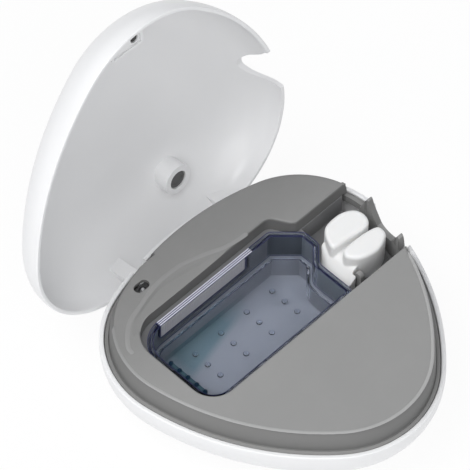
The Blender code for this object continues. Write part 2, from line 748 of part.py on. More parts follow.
pin_reach = ear_spacing + EAR_WALL
for side_name, arm_x in arm_places:
    slot_half = ARM_WIDTH / 2 + ARM_SLOT_CLEARANCE
    cut(lower_shell, f"shell_arm_slot_{side_name}",
        [box((arm_x - slot_half, hinge_y - EAR_RADIUS, RIM_HEIGHT - ARM_SLOT_DEPTH),
             (arm_x + slot_half, back_y + OVERRUN, RIM_HEIGHT + OVERRUN))])
    cut(lower_shell, f"shell_pin_bore_{side_name}",
        [rod((arm_x - pin_reach - OVERRUN, hinge_y, hinge_z), (1, 0, 0), PIN_RADIUS + FIT_GAP,
             2 * (pin_reach + OVERRUN), PIN_STEPS)])
cut(lower_shell, "shell_handle_notch", [slab(notch_cut(BASE_NOTCH_DEPTH), CASE_WIDTH / 4, CASE_WIDTH)])
for i, (x, y) in enumerate(screw_places):
    head_hole = SCREW_HEAD_RADIUS + SCREW_CLEARANCE
    shank_hole = SCREW_RADIUS + SCREW_CLEARANCE
    cut(lower_shell, f"shell_screw_hole_{i}",
        [turned((x, y, UNDERSIDE_HEIGHT - OVERRUN), (0, 0, 1),
                [(head_hole, 0), (head_hole, OVERRUN + SCREW_SINK), (shank_hole, OVERRUN + SCREW_SINK),
                 (shank_hole, OVERRUN + SCREW_PAD_TOP)], SCREW_STEPS)])
for i, (x, y) in enumerate(post_places):
    cut(lower_shell, f"post_bore_{i}",
        [rod((x, y, post_top - BOARD_SCREW_LENGTH), (0, 0, 1), BOARD_SCREW_RADIUS + FIT_GAP,
             BOARD_SCREW_LENGTH + OVERRUN, SCREW_STEPS)])
inlet_x = CASE_WIDTH * sum(ARM_SHARES) / 2
inlet_z = RIM_HEIGHT - INLET_DROP
inlet_wall = back_edge(SHELL_WALL, inlet_x)
cut(lower_shell, "shell_inlet_hole",
    [rod((inlet_x, inlet_wall - OVERRUN, inlet_z), (0, 1, 0), INLET_NOSE_RADIUS + FIT_GAP,
         SHELL_WALL + 2 * OVERRUN, INLET_STEPS)])

# Standing pad, stuck to the flat underside
pad_x = PAD_WIDTH / 2
pad_y = PAD_LENGTH / 2
pad_corners = [(-pad_x, -pad_y, PAD_RADIUS), (pad_x, -pad_y, PAD_RADIUS), (pad_x, pad_y, PAD_RADIUS),
               (-pad_x, pad_y, PAD_RADIUS)]
place("standing_pad", [prism(rounded(pad_corners), 0, UNDERSIDE_HEIGHT - FIT_GAP)], rubber)

# Deck: lip, groove, island wall, shoulder and plateau, open below
lip_top = RIM_HEIGHT - LIP_DROP
lip_under = lip_top - LIP_DEPTH
inner_inset = island_inset + DECK_WALL
groove_inset = island_inset - LIP_GROOVE_WIDTH / 2
shoulder_base = plateau_z - SHOULDER_RADIUS
inner_shoulder = SHOULDER_RADIUS - DECK_WALL


def shoulder_rings(inset, radius, base):
    """Rings up the island's soft shoulder."""
    angles = [math.pi / 2 * i / SHOULDER_STEPS for i in range(SHOULDER_STEPS + 1)]
    return [level(outline(inset + radius * (1 - math.cos(a))), base + radius * math.sin(a)) for a in angles]


deck_rings = shoulder_rings(inner_inset, inner_shoulder, shoulder_base)[::-1]
deck_rings += [
    level(outline(inner_inset), lip_under), level(outline(lip_inset), lip_under),
    level(outline(lip_inset), lip_top - RIM_SOFTENING / 2),
    level(outline(lip_inset + RIM_SOFTENING / 2), lip_top),
    level(outline(island_inset - LIP_GROOVE_WIDTH), lip_top),
    level(outline(groove_inset), lip_top - LIP_GROOVE_DEPTH),
    level(outline(island_inset), lip_top),
]
deck_rings += shoulder_rings(island_inset, SHOULDER_RADIUS, shoulder_base)
deck = place("deck", [loft(deck_rings)], grey)

cavity = cavity_corners()
collar_plan = rounded(inset_corners(cavity, -COLLAR_WALL))
join(deck, "deck_collar", [prism(collar_plan, collar_bottom, deck_under + DECK_WALL / 2)])
apron_low = opening_back - opening_width - RING_WALL
apron_high = opening_back + RING_WALL
apron_plan = side_strip(island_inset, apron_low, apron_high, NOTCH_STEPS)
apron_plan += side_strip(ring_inset, apron_low, apron_high, NOTCH_STEPS)[::-1]
join(deck, "deck_apron", [prism(apron_plan, RIM_HEIGHT - APRON_DEPTH, lip_top)])
boss_low = SCREW_PAD_TOP + FIT_GAP
boss_height = deck_under + DECK_WALL / 2 - boss_low
join(deck, "deck_screw_bosses", [rod((x, y, boss_low), (0, 0, 1), SCREW_BOSS_RADIUS, boss_height,
                                     SCREW_STEPS)
                                 for x, y in screw_places[:2]])
cut(deck, "deck_cavity", [prism(rounded(cavity), RIM_HEIGHT - APRON_DEPTH - OVERRUN, plateau_z + OVERRUN)])
ring_profile = ring_top()
ring_profile += [(ring_profile[-1][0], plateau_z + OVERRUN), (ring_profile[0][0], plateau_z + OVERRUN)]
cavity_span = side_x(ring_inset, cavity_back) - cavity_left
dish_rings = []
for along, setback, depth in RIDGE_SHARES:
    ridge_x = cavity_left + cavity_span * along
    ridge_y = cavity_back + rear_deck * setback
    edge_y = cavity_back - DISH_REACH
    dish_rings.append([(ridge_x, ridge_y, plateau_z), (ridge_x, edge_y, plateau_z - DISH_DEPTH * depth),
                       (ridge_x, edge_y, plateau_z + OVERRUN), (ridge_x, ridge_y, plateau_z + OVERRUN)])
cut(deck, "deck_dish", [loft(dish_rings)])
cut(deck, "deck_ring_profile", [slab(ring_profile, side_x(ring_inset, cavity_front) - RING_WALL,
                                     CASE_WIDTH)])
lip_cut_plan = side_strip(-OVERRUN, opening_back - opening_width, opening_back, NOTCH_STEPS)
lip_cut_plan += side_strip(island_inset, opening_back - opening_width, opening_back, NOTCH_STEPS)[::-1]
cut(deck, "deck_lip_cut", [prism(lip_cut_plan, lip_under - OVERRUN, plateau_z + OVERRUN)])
pocket_y = hinge_y + ARM_FACE_SETBACK - EAR_CLEARANCE
for side_name, arm_x in arm_places:
    pocket_half = ARM_WIDTH / 2 + ARM_SLOT_CLEARANCE
    cut(deck, f"deck_arm_pocket_{side_name}",
        [box((arm_x - pocket_half, pocket_y, lip_under - OVERRUN),
             (arm_x + pocket_half, back_y + OVERRUN, plateau_z + OVERRUN))])
switch_y = cavity_back + rear_deck * SWITCH_GAP_SHARE
hole_y = switch_y + SWITCH_HOLE_OFFSET
hole_half = (SWITCH_HOLE_LENGTH - SWITCH_HOLE_WIDTH) / 2
hole_radius = SWITCH_HOLE_WIDTH / 2
hole_plan = arc_points((switch_x + hole_half, hole_y), hole_radius, -math.pi / 2, math.pi / 2,
                       SWITCH_HOLE_STEPS)
hole_plan += [(switch_x + hole_half, hole_y + hole_radius)]
hole_plan += arc_points((switch_x - hole_half, hole_y), hole_radius, math.pi / 2, math.pi * 3 / 2,
                        SWITCH_HOLE_STEPS)
hole_plan += [(switch_x - hole_half, hole_y - hole_radius)]
cut(deck, "deck_switch_hole", [prism(hole_plan, deck_under - OVERRUN / 2, plateau_z + OVERRUN)])
for i, (x, y) in enumerate(screw_places[:2]):
    cut(deck, f"deck_boss_bore_{i}", [rod((x, y, boss_low - OVERRUN), (0, 0, 1), SCREW_RADIUS + FIT_GAP,
                                          SCREW_LENGTH + OVERRUN, SCREW_STEPS)])

# Well: two steps under the tray, the brush bay beside it, and the lamp's shelf behind
tray_plan = tray_corners()
tray_outer = TRAY_FLANGE_WIDTH - TRAY_WALL
well_in = tray_outer - WELL_CLEARANCE
well_out = well_in - WELL_WALL
lower_in = well_in + TRAY_LEDGE
lower_out = well_out + TRAY_LEDGE
step_z = ledge_z - TRAY_WALL - WELL_CLEARANCE
well_floor = tray_floor - TRAY_WALL - WELL_CLEARANCE
well_under = well_floor - WELL_FLOOR
plate_under = well_top - WELL_FLANGE
plate_plan = rounded(inset_corners(cavity, -COLLAR_WALL))
bath_well = place("bath_well", [prism(plate_plan, plate_under, well_top)], dark_grey)
join(bath_well, "well_upper", [prism(rounded(inset_corners(tray_plan, well_out)), step_z - WELL_WALL,
                                     well_top - WELL_FLANGE / 2)])
join(bath_well, "well_lower", [prism(rounded(inset_corners(tray_plan, lower_out)), well_under, step_z)])
bay_left = tray_right - well_out
bay_front = cavity_front + FIT_GAP
bay_rear = bay_back - FIT_GAP
bay_ring = side_strip(well_inset + WELL_WALL, bay_front, bay_rear, NOTCH_STEPS)
bay_corners = [(bay_left, bay_front, 0), *[(x, y, 0) for x, y in bay_ring],
               (bay_left + TRAY_BULGE, bay_rear, 0), (bay_left + TRAY_BULGE, bulge_step, 0),
               (bay_left, bulge_step - TRAY_BULGE, 0)]
join(bath_well, "bay_box", [prism(rounded(inset_corners(bay_corners, -WELL_WALL)), bay_floor - WELL_WALL,
                                  well_top - WELL_FLANGE / 2)])
trim_plan = outline(well_inset)
shape_by(bath_well, place("well_trim", [prism(trim_plan, UNDERSIDE_HEIGHT, plateau_z)]), "INTERSECT")

window_top = plate_under - WINDOW_DROP
window_low = window_top - WINDOW_HEIGHT
wall_back = tray_back - well_out
shelf_top = window_low - WINDOW_LAP - FIT_GAP
lamp_room = FIT_GAP + WINDOW_PANE + FIT_GAP + LAMP_CAP_DEPTH
shelf_left = lamp_left - LAMP_CAP_LENGTH
shelf_right = lamp_right + LAMP_CAP_LENGTH
join(bath_well, "lamp_shelf", [box((shelf_left, wall_back - WELL_WALL / 2, shelf_top - LAMP_SHELF),
                                   (shelf_right, wall_back + lamp_room, shelf_top))])
join(bath_well, "well_screw_bosses", [rod((x, y, boss_low), (0, 0, 1), SCREW_BOSS_RADIUS,
                                          shelf_top - LAMP_SHELF / 2 - boss_low, SCREW_STEPS)
                                      for x, y in screw_places[2:]])
cut(bath_well, "well_upper_room", [prism(rounded(inset_corners(tray_plan, well_in)), step_z,
                                         well_top + OVERRUN)])
cut(bath_well, "well_lower_room", [prism(rounded(inset_corners(tray_plan, lower_in)), well_floor,
                                         step_z + OVERRUN / 2)])
cut(bath_well, "bay_room", [prism(rounded(bay_corners), bay_floor, well_top + OVERRUN)])
cut(bath_well, "bay_rim_cut", [box((bay_left + TRAY_BULGE + COLLAR_WALL, bay_front - OVERRUN, bay_rim),
                                   (CASE_WIDTH, bay_rear, well_top + OVERRUN))])
cut(bath_well, "window_opening", [box((lamp_left, wall_back - OVERRUN, window_low),
                                      (lamp_right, wall_back + OVERRUN, window_top))])
post_y = cavity_front + DRAIN_POST_GAP
post_round = DRAIN_POST_WIDTH / 2
post_low = bay_floor - WELL_WALL / 2
post_profile = [(post_y - post_round, post_low), (post_y + post_round, post_low)]
post_profile += arc_points((post_y, bay_floor + DRAIN_POST_HEIGHT - post_round), post_round, 0, math.pi,
                           DRAIN_POST_STEPS)
post_profile += [(post_y - post_round, bay_floor + DRAIN_POST_HEIGHT - post_round)]
join(bath_well, "drain_post", [slab(post_profile, post_middle - DRAIN_POST_THICKNESS / 2,
                                    post_middle + DRAIN_POST_THICKNESS / 2)])
for i, (x, y) in enumerate(screw_places[2:]):
    cut(bath_well, f"well_boss_bore_{i}", [rod((x, y, boss_low - OVERRUN), (0, 0, 1), SCREW_RADIUS + FIT_GAP,
                                               SCREW_LENGTH + OVERRUN, SCREW_STEPS)])

# Lamp: pane, tube, end caps and reflector
pane_low = shelf_top + FIT_GAP
pane_front = wall_back + FIT_GAP
cap_front = pane_front + WINDOW_PANE + FIT_GAP
cap_back = cap_front + LAMP_CAP_DEPTH
place("lamp_window", [box((lamp_left - WINDOW_LAP, pane_front, pane_low),
                          (lamp_right + WINDOW_LAP, pane_front + WINDOW_PANE, plate_under - FIT_GAP))],
      clear_blue)
lamp_y = cap_front + LAMP_CAP_DEPTH / 2
lamp_z = pane_low + LAMP_CAP_HEIGHT / 2
cap_reach = LAMP_CAP_LENGTH / 2
for side_name, end_x, toward in (("left", lamp_left, 1), ("right", lamp_right, -1)):
    cap = place(f"lamp_cap_{side_name}", [box((end_x - cap_reach, cap_front, pane_low),
                                              (end_x + cap_reach, cap_back, pane_low + LAMP_CAP_HEIGHT))],
                cap_plastic)
    cut(cap, f"lamp_socket_{side_name}",
        [rod((end_x + toward * (cap_reach + OVERRUN), lamp_y, lamp_z), (-toward, 0, 0),
             LAMP_RADIUS + FIT_GAP,
             OVERRUN + LAMP_GRIP, LAMP_STEPS)])
tube_start = lamp_left + cap_reach - LAMP_GRIP + FIT_GAP
tube_end = lamp_right - cap_reach + LAMP_GRIP - FIT_GAP
place("lamp_tube", [rod((tube_start, lamp_y, lamp_z), (1, 0, 0), LAMP_RADIUS, tube_end - tube_start,
                        LAMP_STEPS)], lamp_glass)
mirror_top = pane_low + LAMP_CAP_HEIGHT
mirror_back = cap_front + REFLECTOR_DEPTH
mirror_profile = [
    (cap_front, pane_low), (mirror_back, pane_low), (mirror_back, mirror_top), (cap_front, mirror_top),
    (cap_front, mirror_top - REFLECTOR_SHEET), (mirror_back - REFLECTOR_SHEET, mirror_top - REFLECTOR_SHEET),
    (mirror_back - REFLECTOR_SHEET, pane_low + REFLECTOR_SHEET), (cap_front, pane_low + REFLECTOR_SHEET),
]
place("lamp_reflector", [slab(mirror_profile, lamp_left + cap_reach + FIT_GAP,
                              lamp_right - cap_reach - FIT_GAP)],
      foil)

# Bath tray: flange, upper wall, ledge, lower wall and floor with pips
tray_inner = TRAY_FLANGE_WIDTH
lower_wall = tray_inner + TRAY_LEDGE


def tray_ring(inset, z):
    """Tray outline drawn in by an inset, at one height."""
    return level(rounded(inset_corners(tray_plan, inset)), z)


tray_under = tray_floor - TRAY_WALL
tray_rings = [
    tray_ring(lower_wall + TRAY_BLEND, tray_floor), tray_ring(lower_wall, tray_floor + TRAY_BLEND),
    tray_ring(lower_wall, ledge_z), tray_ring(tray_inner, ledge_z), tray_ring(tray_inner, tray_z),
    tray_ring(RIM_SOFTENING / 2, tray_z), tray_ring(0, tray_z - RIM_SOFTENING / 2),
    tray_ring(0, flange_under),
    tray_ring(tray_outer, flange_under), tray_ring(tray_outer, ledge_z - TRAY_WALL),
    tray_ring(lower_wall - TRAY_WALL, ledge_z - TRAY_WALL),
    tray_ring(lower_wall - TRAY_WALL, tray_floor + TRAY_BLEND / 2),
    tray_ring(lower_wall + TRAY_BLEND - TRAY_WALL, tray_under),
]
bath_tray = place("bath_tray", [loft(tray_rings)], clear_blue)
pip_profile = [(PIP_RADIUS, -TRAY_WALL / 2), (PIP_RADIUS, PIP_RISE / 3), (PIP_RADIUS / 2, PIP_RISE)]
pips = []
for column in range(PIP_COLUMNS):
    for row in range(PIP_ROWS):
        along = PIP_START_SHARES[0] + PIP_PITCH_SHARES[0] * column
        across = PIP_START_SHARES[1] + PIP_PITCH_SHARES[1] * row
        pip_place = (tray_left + tray_length * along, tray_back - tray_width * across, tray_floor)
        pips.append(turned(pip_place, (0, 0, 1), pip_profile, PIP_STEPS))
join(bath_tray, "tray_pips", pips)

comb_x = tray_left + lower_wall + PEG_RADIUS + FIT_GAP
comb_pitch = tray_width * COMB_PITCH_SHARE
comb_back = tray_back - tray_width * COMB_BACK_SHARE
comb_low = tray_floor + TRAY_BLEND + FIT_GAP
band_half = COMB_BAND / 2
comb = place("strainer_comb", [box((comb_x - band_half, comb_back - comb_pitch * (COMB_PEGS - 1), comb_low),
                                   (comb_x + band_half, comb_back, comb_low + COMB_BAND_HEIGHT))], teal)
join(comb, "comb_pegs", [rod((comb_x, comb_back - comb_pitch * i, comb_low - FIT_GAP), (0, 0, 1),
                             PEG_RADIUS, PEG_HEIGHT - TRAY_BLEND, PEG_STEPS) for i in range(COMB_PEGS)])
carry([bath_tray, comb], "tray_lift_point", (0, 0, tray_z))

# Brush rest: two lobes with a groove between them, on a ramp toward the tray
rest_x = CASE_WIDTH * REST_PLACE_SHARE
rest_length = CASE_WIDTH * REST_LENGTH_SHARE
rest_width = opening_width * REST_WIDTH_SHARE
rest_y = opening_middle + REST_OFFSET
rest_top = RIM_HEIGHT + REST_RISE
rest_low = bay_floor + FIT_GAP
rest_near = rest_x - rest_length / 2


def rest_ring(inset, z):
    """Oval of the brush rest drawn in by an inset, at one height."""
    oval = arc_points((0, 0), 1, 0, math.tau, REST_STEPS)
    length = rest_length / 2 - inset
    width = rest_width / 2 - inset
    return [(rest_x + length * u, rest_y + width * v, z) for u, v in oval]


def groove_section(x, y, width, floor):
    """Cross-section of the brush rest's groove at one place along it."""
    half = width / 2
    high = rest_top + OVERRUN
    return [(x, y - half / 2, floor), (x, y + half / 2, floor), (x, y + half, floor + half),
            (x, y + half, high),
            (x, y - half, high), (x, y - half, floor + half)]


brush_rest = place("brush_rest", [loft([rest_ring(0, rest_low), rest_ring(0, rest_top - REST_SOFTENING),
                                        rest_ring(REST_SOFTENING / 3, rest_top - REST_SOFTENING / 3),
                                        rest_ring(REST_SOFTENING, rest_top)])], rest_white)
ramp_left = bay_left + REST_FITTING
ramp_step = post_middle - DRAIN_POST_THICKNESS / 2 - REST_FITTING
ramp_back = bulge_step - TRAY_BULGE - REST_FITTING
ramp_front = cavity_front + REST_RAMP_GAP
ramp_turn = post_y + post_round + REST_FITTING
ramp_top = RIM_HEIGHT + REST_RAMP_RISE
ramp_end = rest_near + OVERRUN / 2
ramp_profile = [(ramp_left, rest_low), (rest_x, rest_low), (rest_x, ramp_top), (ramp_end, ramp_top),
                (ramp_left, ramp_top - REST_RAMP_FALL)]
ramp = place("rest_ramp", [profile_y(ramp_profile, ramp_front, ramp_back)])
cut(ramp, "rest_post_room", [box((ramp_step, ramp_front - OVERRUN, rest_low - OVERRUN),
                                 (rest_x + OVERRUN, ramp_turn, ramp_top + OVERRUN))])
shape_by(brush_rest, ramp, "UNION")
groove_y = opening_middle + GROOVE_OFFSET
groove_low = rest_top - GROOVE_DEPTH
cut(brush_rest, "rest_groove", [loft([
    groove_section(rest_near - OVERRUN / 2, groove_y + GROOVE_SLANT, GROOVE_MOUTH * 2,
                   groove_low - GROOVE_FALL),
    groove_section(rest_near + rest_length / 8, groove_y + GROOVE_SLANT / 2, GROOVE_MOUTH, groove_low),
    groove_section(rest_x - rest_length / 8, groove_y, GROOVE_WIDTH, groove_low),
    groove_section(rest_x + rest_length / 2 + OVERRUN, groove_y - GROOVE_SLANT, GROOVE_FAR_WIDTH,
                   groove_low),
])])
carry([brush_rest], "rest_lift_point", (rest_x, rest_y, rest_top))

# Lid switch: sprung plunger in the deck's oval hole and the switch body below it
plunger_top = plateau_z - PLUNGER_SINK
plunger_low = plunger_top - PLUNGER_LENGTH
plunger_profile = [(PLUNGER_RADIUS, 0), (PLUNGER_RADIUS, PLUNGER_LENGTH - PLUNGER_RADIUS / 2),
                   (PLUNGER_RADIUS / 2, PLUNGER_LENGTH)]
plunger = place("switch_plunger", [turned((switch_x, switch_y, plunger_low), (0, 0, 1), plunger_profile,
                                          PIN_STEPS)], steel)
carry([plunger], "plunger_point", (switch_x, switch_y, plunger_top))
switch_top = deck_under - FIT_GAP
body_x = switch_x + SWITCH_BODY_OFFSET
body_y = switch_y - SWITCH_BODY_OFFSET
body_low = (body_x - SWITCH_LENGTH / 2, body_y - SWITCH_WIDTH / 2, switch_top - SWITCH_HEIGHT)
body_high = (body_x + SWITCH_LENGTH / 2, body_y + SWITCH_WIDTH / 2, switch_top)
switch_body = place("switch_body", [box(body_low, body_high)], black)
cut(switch_body, "switch_bore", [rod((switch_x, switch_y, plunger_low - PLUNGER_TRAVEL - FIT_GAP), (0, 0, 1),
                                     PLUNGER_RADIUS + FIT_GAP, PLUNGER_LENGTH + OVERRUN, PIN_STEPS)])

# Sensor under the deck, below the lid's boss, and the steel catch plate under the front plateau
boss_y = cavity_back + rear_deck * BOSS_GAP_SHARE
sensor_top = deck_under - FIT_GAP
place("lid_sensor", [box((boss_x - SENSOR_LENGTH / 2, boss_y - SENSOR_WIDTH / 2, sensor_top - SENSOR_HEIGHT),
                         (boss_x + SENSOR_LENGTH / 2, boss_y + SENSOR_WIDTH / 2, sensor_top))], black)
catch_back = CATCH_REACH - CASE_DEPTH / 2
plate_y = catch_back - STEEL_WIDTH / 2
place("catch_plate", [box((-STEEL_LENGTH / 2, plate_y - STEEL_WIDTH / 2, sensor_top - STEEL_THICKNESS),
                          (STEEL_LENGTH / 2, plate_y + STEEL_WIDTH / 2, sensor_top))], steel)

# Circuit board, its screws and the parts on it
board = place("circuit_board", [box((-board_length / 2, board_front, BOARD_HEIGHT),
                                    (board_length / 2, board_back, BOARD_HEIGHT + BOARD_THICKNESS))],
              board_green)
board_top = BOARD_HEIGHT + BOARD_THICKNESS
part_low = board_top + FIT_GAP
board_middle = (board_front + board_back) / 2
for i, (x, y) in enumerate(post_places):
    cut(board, f"board_hole_{i}", [rod((x, y, BOARD_HEIGHT - OVERRUN), (0, 0, 1),
                                       BOARD_SCREW_RADIUS + FIT_GAP,
                                       BOARD_THICKNESS + 2 * OVERRUN, SCREW_STEPS)])
    screw_base = board_top + FIT_GAP + BOARD_SCREW_HEAD
    shank = BOARD_SCREW_LENGTH - FIT_GAP
    screw_profile = [(BOARD_SCREW_HEAD_RADIUS, 0), (BOARD_SCREW_HEAD_RADIUS, BOARD_SCREW_HEAD),
                     (BOARD_SCREW_RADIUS, BOARD_SCREW_HEAD), (BOARD_SCREW_RADIUS, BOARD_SCREW_HEAD + shank)]
    place(f"board_screw_{i + 1}", [turned((x, y, screw_base), (0, 0, -1), screw_profile, SCREW_STEPS)],
          steel)
coil_middle = board_length * COIL_SHARE
capacitor_x = board_length * CAPACITOR_SHARE
chip_x = board_length * CHIP_SHARE
coil_y = COIL_WIDTH / 2
coil_low = coil_middle - COIL_LENGTH / 2
coil_high = coil_middle + COIL_LENGTH / 2
coil_top = part_low + COIL_HEIGHT
coil_profile = [
    (coil_low, part_low), (coil_high, part_low), (coil_high, part_low + COIL_FLANGE),
    (coil_high - COIL_RECESS, part_low + COIL_FLANGE), (coil_high - COIL_RECESS, coil_top - COIL_FLANGE),
    (coil_high, coil_top - COIL_FLANGE), (coil_high, coil_top), (coil_low, coil_top),
    (coil_low, coil_top - COIL_FLANGE), (coil_low + COIL_RECESS, coil_top - COIL_FLANGE),
    (coil_low + COIL_RECESS, part_low + COIL_FLANGE), (coil_low, part_low + COIL_FLANGE),
]
place("drive_coil", [profile_y(coil_profile, board_middle - coil_y, board_middle + coil_y)], copper)
place("capacitor", [turned((capacitor_x, board_middle, part_low), (0, 0, 1),
                           [(CAPACITOR_RADIUS, 0), (CAPACITOR_RADIUS, CAPACITOR_HEIGHT - RIM_SOFTENING),
                            (CAPACITOR_RADIUS - RIM_SOFTENING, CAPACITOR_HEIGHT)], LAMP_STEPS)],
      capacitor_blue)
chip_half = CHIP_LENGTH / 2
place("controller_chip", [box((chip_x - chip_half, board_middle - chip_half, part_low),
                              (chip_x + chip_half, board_middle + chip_half, part_low + CHIP_HEIGHT))],
      black)

# Power inlet: body inside the back wall, nose through it
inlet_low = inlet_z - INLET_HEIGHT / 2
inlet_back = back_edge(bowl_inset(SHELL_WALL, inlet_low), inlet_x + INLET_WIDTH / 2) - FIT_GAP
nose_end = back_edge(bowl_inset(0, inlet_z), inlet_x) - INLET_RECESS
nose_low = inlet_back - INLET_NOSE_RADIUS / 2
bore_end = nose_end - INLET_BORE_DEPTH
inlet = place("power_inlet", [box((inlet_x - INLET_WIDTH / 2, cap_back + INLET_GAP, inlet_low),
                                  (inlet_x + INLET_WIDTH / 2, inlet_back, inlet_low + INLET_HEIGHT))], black)
join(inlet, "inlet_nose", [rod((inlet_x, nose_low, inlet_z), (0, 1, 0), INLET_NOSE_RADIUS,
                               nose_end - nose_low,
                               INLET_STEPS)])
cut(inlet, "inlet_bore", [rod((inlet_x, bore_end, inlet_z), (0, 1, 0), INLET_BORE_RADIUS,
                              INLET_BORE_DEPTH + OVERRUN, INLET_STEPS)])
join(inlet, "inlet_pin", [rod((inlet_x, bore_end - INLET_PIN_RADIUS, inlet_z), (0, 1, 0), INLET_PIN_RADIUS,
                              INLET_BORE_DEPTH, PIN_STEPS)])

# Case screws from below and hinge pins
for i, (x, y) in enumerate(screw_places):
    screw(f"case_screw_{i + 1}", x, y, UNDERSIDE_HEIGHT + SCREW_SINK - FIT_GAP - SCREW_HEAD,
          SCREW_HEAD_RADIUS,
          SCREW_HEAD, SCREW_RADIUS, SCREW_LENGTH, True, steel)
for side_name, arm_x in arm_places:
    place(f"hinge_pin_{side_name}", [rod((arm_x - pin_reach, hinge_y, hinge_z), (1, 0, 0), PIN_RADIUS,
                                         2 * pin_reach, PIN_STEPS)], steel)

# Lid, drawn closed and then turned open: dome, arms, sensor boss and catch housing
dome_inner = dome_rings(LID_WALL, lid_rim)
dome_outer = dome_rings(0, lid_rim)
lid_rim_rings = [
    level(outline(LID_WALL), lid_rim + RIM_SOFTENING), level(outline(LID_WALL - RIM_SOFTENING / 2), lid_rim),
    level(outline(RIM_SOFTENING), lid_rim), level(outline(0), lid_rim + RIM_SOFTENING),
]
lid_shell = place("lid_shell", [loft(dome_inner + lid_rim_rings + dome_outer[::-1])], white)
face_y = hinge_y + ARM_FACE_SETBACK
face_turn = math.acos(ARM_FACE_SETBACK / KNUCKLE_RADIUS)
tail_y = back_y - ARM_TAIL_SETBACK
arm_profile = [(face_y, lid_rim + DOME_RISE)]
arm_profile += knuckle_points(KNUCKLE_RADIUS, face_turn, math.tau - face_turn / 4, KNUCKLE_STEPS)
arm_profile += [(tail_y, lid_rim - ARM_TAIL_DROP),
                (tail_y + OVERRUN, lid_rim - ARM_TAIL_DROP + ARM_TAIL_RISE),
                (tail_y + OVERRUN, lid_rim + DOME_RISE)]
arm_half = ARM_WIDTH / 2
lid_works = place("lid_works", [slab(arm_profile, x - arm_half, x + arm_half) for _, x in arm_places])
join(lid_works, "lid_boss", [rod((boss_x, boss_y, lid_rim + BOSS_FACE), (0, 0, 1), BOSS_RADIUS, DOME_RISE,
                                 BOSS_STEPS)])
catch_half = CATCH_WIDTH / 2
catch_plan = [(-catch_half, -CASE_DEPTH / 2, 0), (catch_half, -CASE_DEPTH / 2, 0),
              (catch_half, catch_back, CATCH_CORNER), (-catch_half, catch_back, CATCH_CORNER)]
join(lid_works, "lid_catch", [prism(rounded(catch_plan), lid_rim + CATCH_FACE, lid_rim + DOME_RISE)])
core = [level(outline(LID_WALL / 2), hinge_z - OVERRUN), level(outline(LID_WALL / 2), lid_rim)]
core += dome_rings(LID_WALL / 2, lid_rim)[::-1]
lid_core = place("lid_core", [loft(core)])
shape_by(lid_works, lid_core, "INTERSECT")
shape_by(lid_shell, lid_works, "UNION")
lid_notch = [(opening_back, lid_rim - OVERRUN)]
lid_notch += [opening_point(along, lid_rim + LID_NOTCH_HEIGHT * up) for along, up in LID_NOTCH_SHARES]
lid_notch += [(opening_back - opening_width, lid_rim - OVERRUN)]
cut(lid_shell, "lid_handle_notch", [slab(lid_notch, CASE_WIDTH / 4, CASE_WIDTH)])
cut(lid_shell, "lid_boss_bore", [rod((boss_x, boss_y, lid_rim + BOSS_FACE - OVERRUN), (0, 0, 1),
                                     BOSS_BORE_RADIUS,
                                     BOSS_BORE_DEPTH + OVERRUN, BOSS_STEPS)])
catch_z = lid_rim + CATCH_FACE
pocket_x = catch_half - CATCH_WALL
pocket_back = catch_back - CATCH_WALL
cut(lid_shell, "lid_catch_pocket", [box((-pocket_x, pocket_back - CATCH_POCKET_LENGTH, catch_z - OVERRUN),
                                        (pocket_x, pocket_back, catch_z + CATCH_POCKET_DEPTH))])
magnet_y = CATCH_MAGNET_REACH - CASE_DEPTH / 2
bore_top = catch_z + CATCH_POCKET_DEPTH + CATCH_BORE_DEPTH
cut(lid_shell, "lid_catch_bore", [rod((CATCH_MAGNET_X, magnet_y, catch_z), (0, 0, 1),
                                      CATCH_MAGNET_RADIUS + FIT_GAP,
                                      bore_top - catch_z, PIN_STEPS)])
for side_name, arm_x in arm_places:
    cut(lid_shell, f"lid_pin_bore_{side_name}",
        [rod((arm_x - pin_reach, hinge_y, hinge_z), (1, 0, 0), PIN_RADIUS + FIT_GAP, 2 * pin_reach,
             PIN_STEPS)])
magnet_radius = BOSS_BORE_RADIUS - FIT_GAP
magnet_low = lid_rim + BOSS_FACE + BOSS_BORE_DEPTH - FIT_GAP - MAGNET_HEIGHT
sensor_magnet = place("sensor_magnet", [rod((boss_x, boss_y, magnet_low), (0, 0, 1), magnet_radius,
                                            MAGNET_HEIGHT,
                                            BOSS_STEPS)], cap_plastic)
catch_magnet = place("catch_magnet", [rod((CATCH_MAGNET_X, magnet_y, catch_z + CATCH_POCKET_DEPTH + FIT_GAP),
                                          (0, 0, 1), CATCH_MAGNET_RADIUS, CATCH_BORE_DEPTH - 2 * FIT_GAP,
                                          PIN_STEPS)], cap_plastic)
lid_family = [o for o in bpy.data.objects if o.name.startswith("lid_") and o.name != "lid_sensor"]
lid_hinge = carry([*lid_family, sensor_magnet, catch_magnet], "hinge_axis", (0, hinge_y, hinge_z))
lid_hinge.rotation_euler.x = -LID_OPEN_ANGLE
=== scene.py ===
"""Dressed model of a toothbrush and denture sanitizer case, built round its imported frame."""
import logging
import math
from dataclasses import dataclass, field
from enum import Enum
from typing import Iterable, Optional, Sequence

import bmesh
import bpy
from mathutils import Matrix, Vector


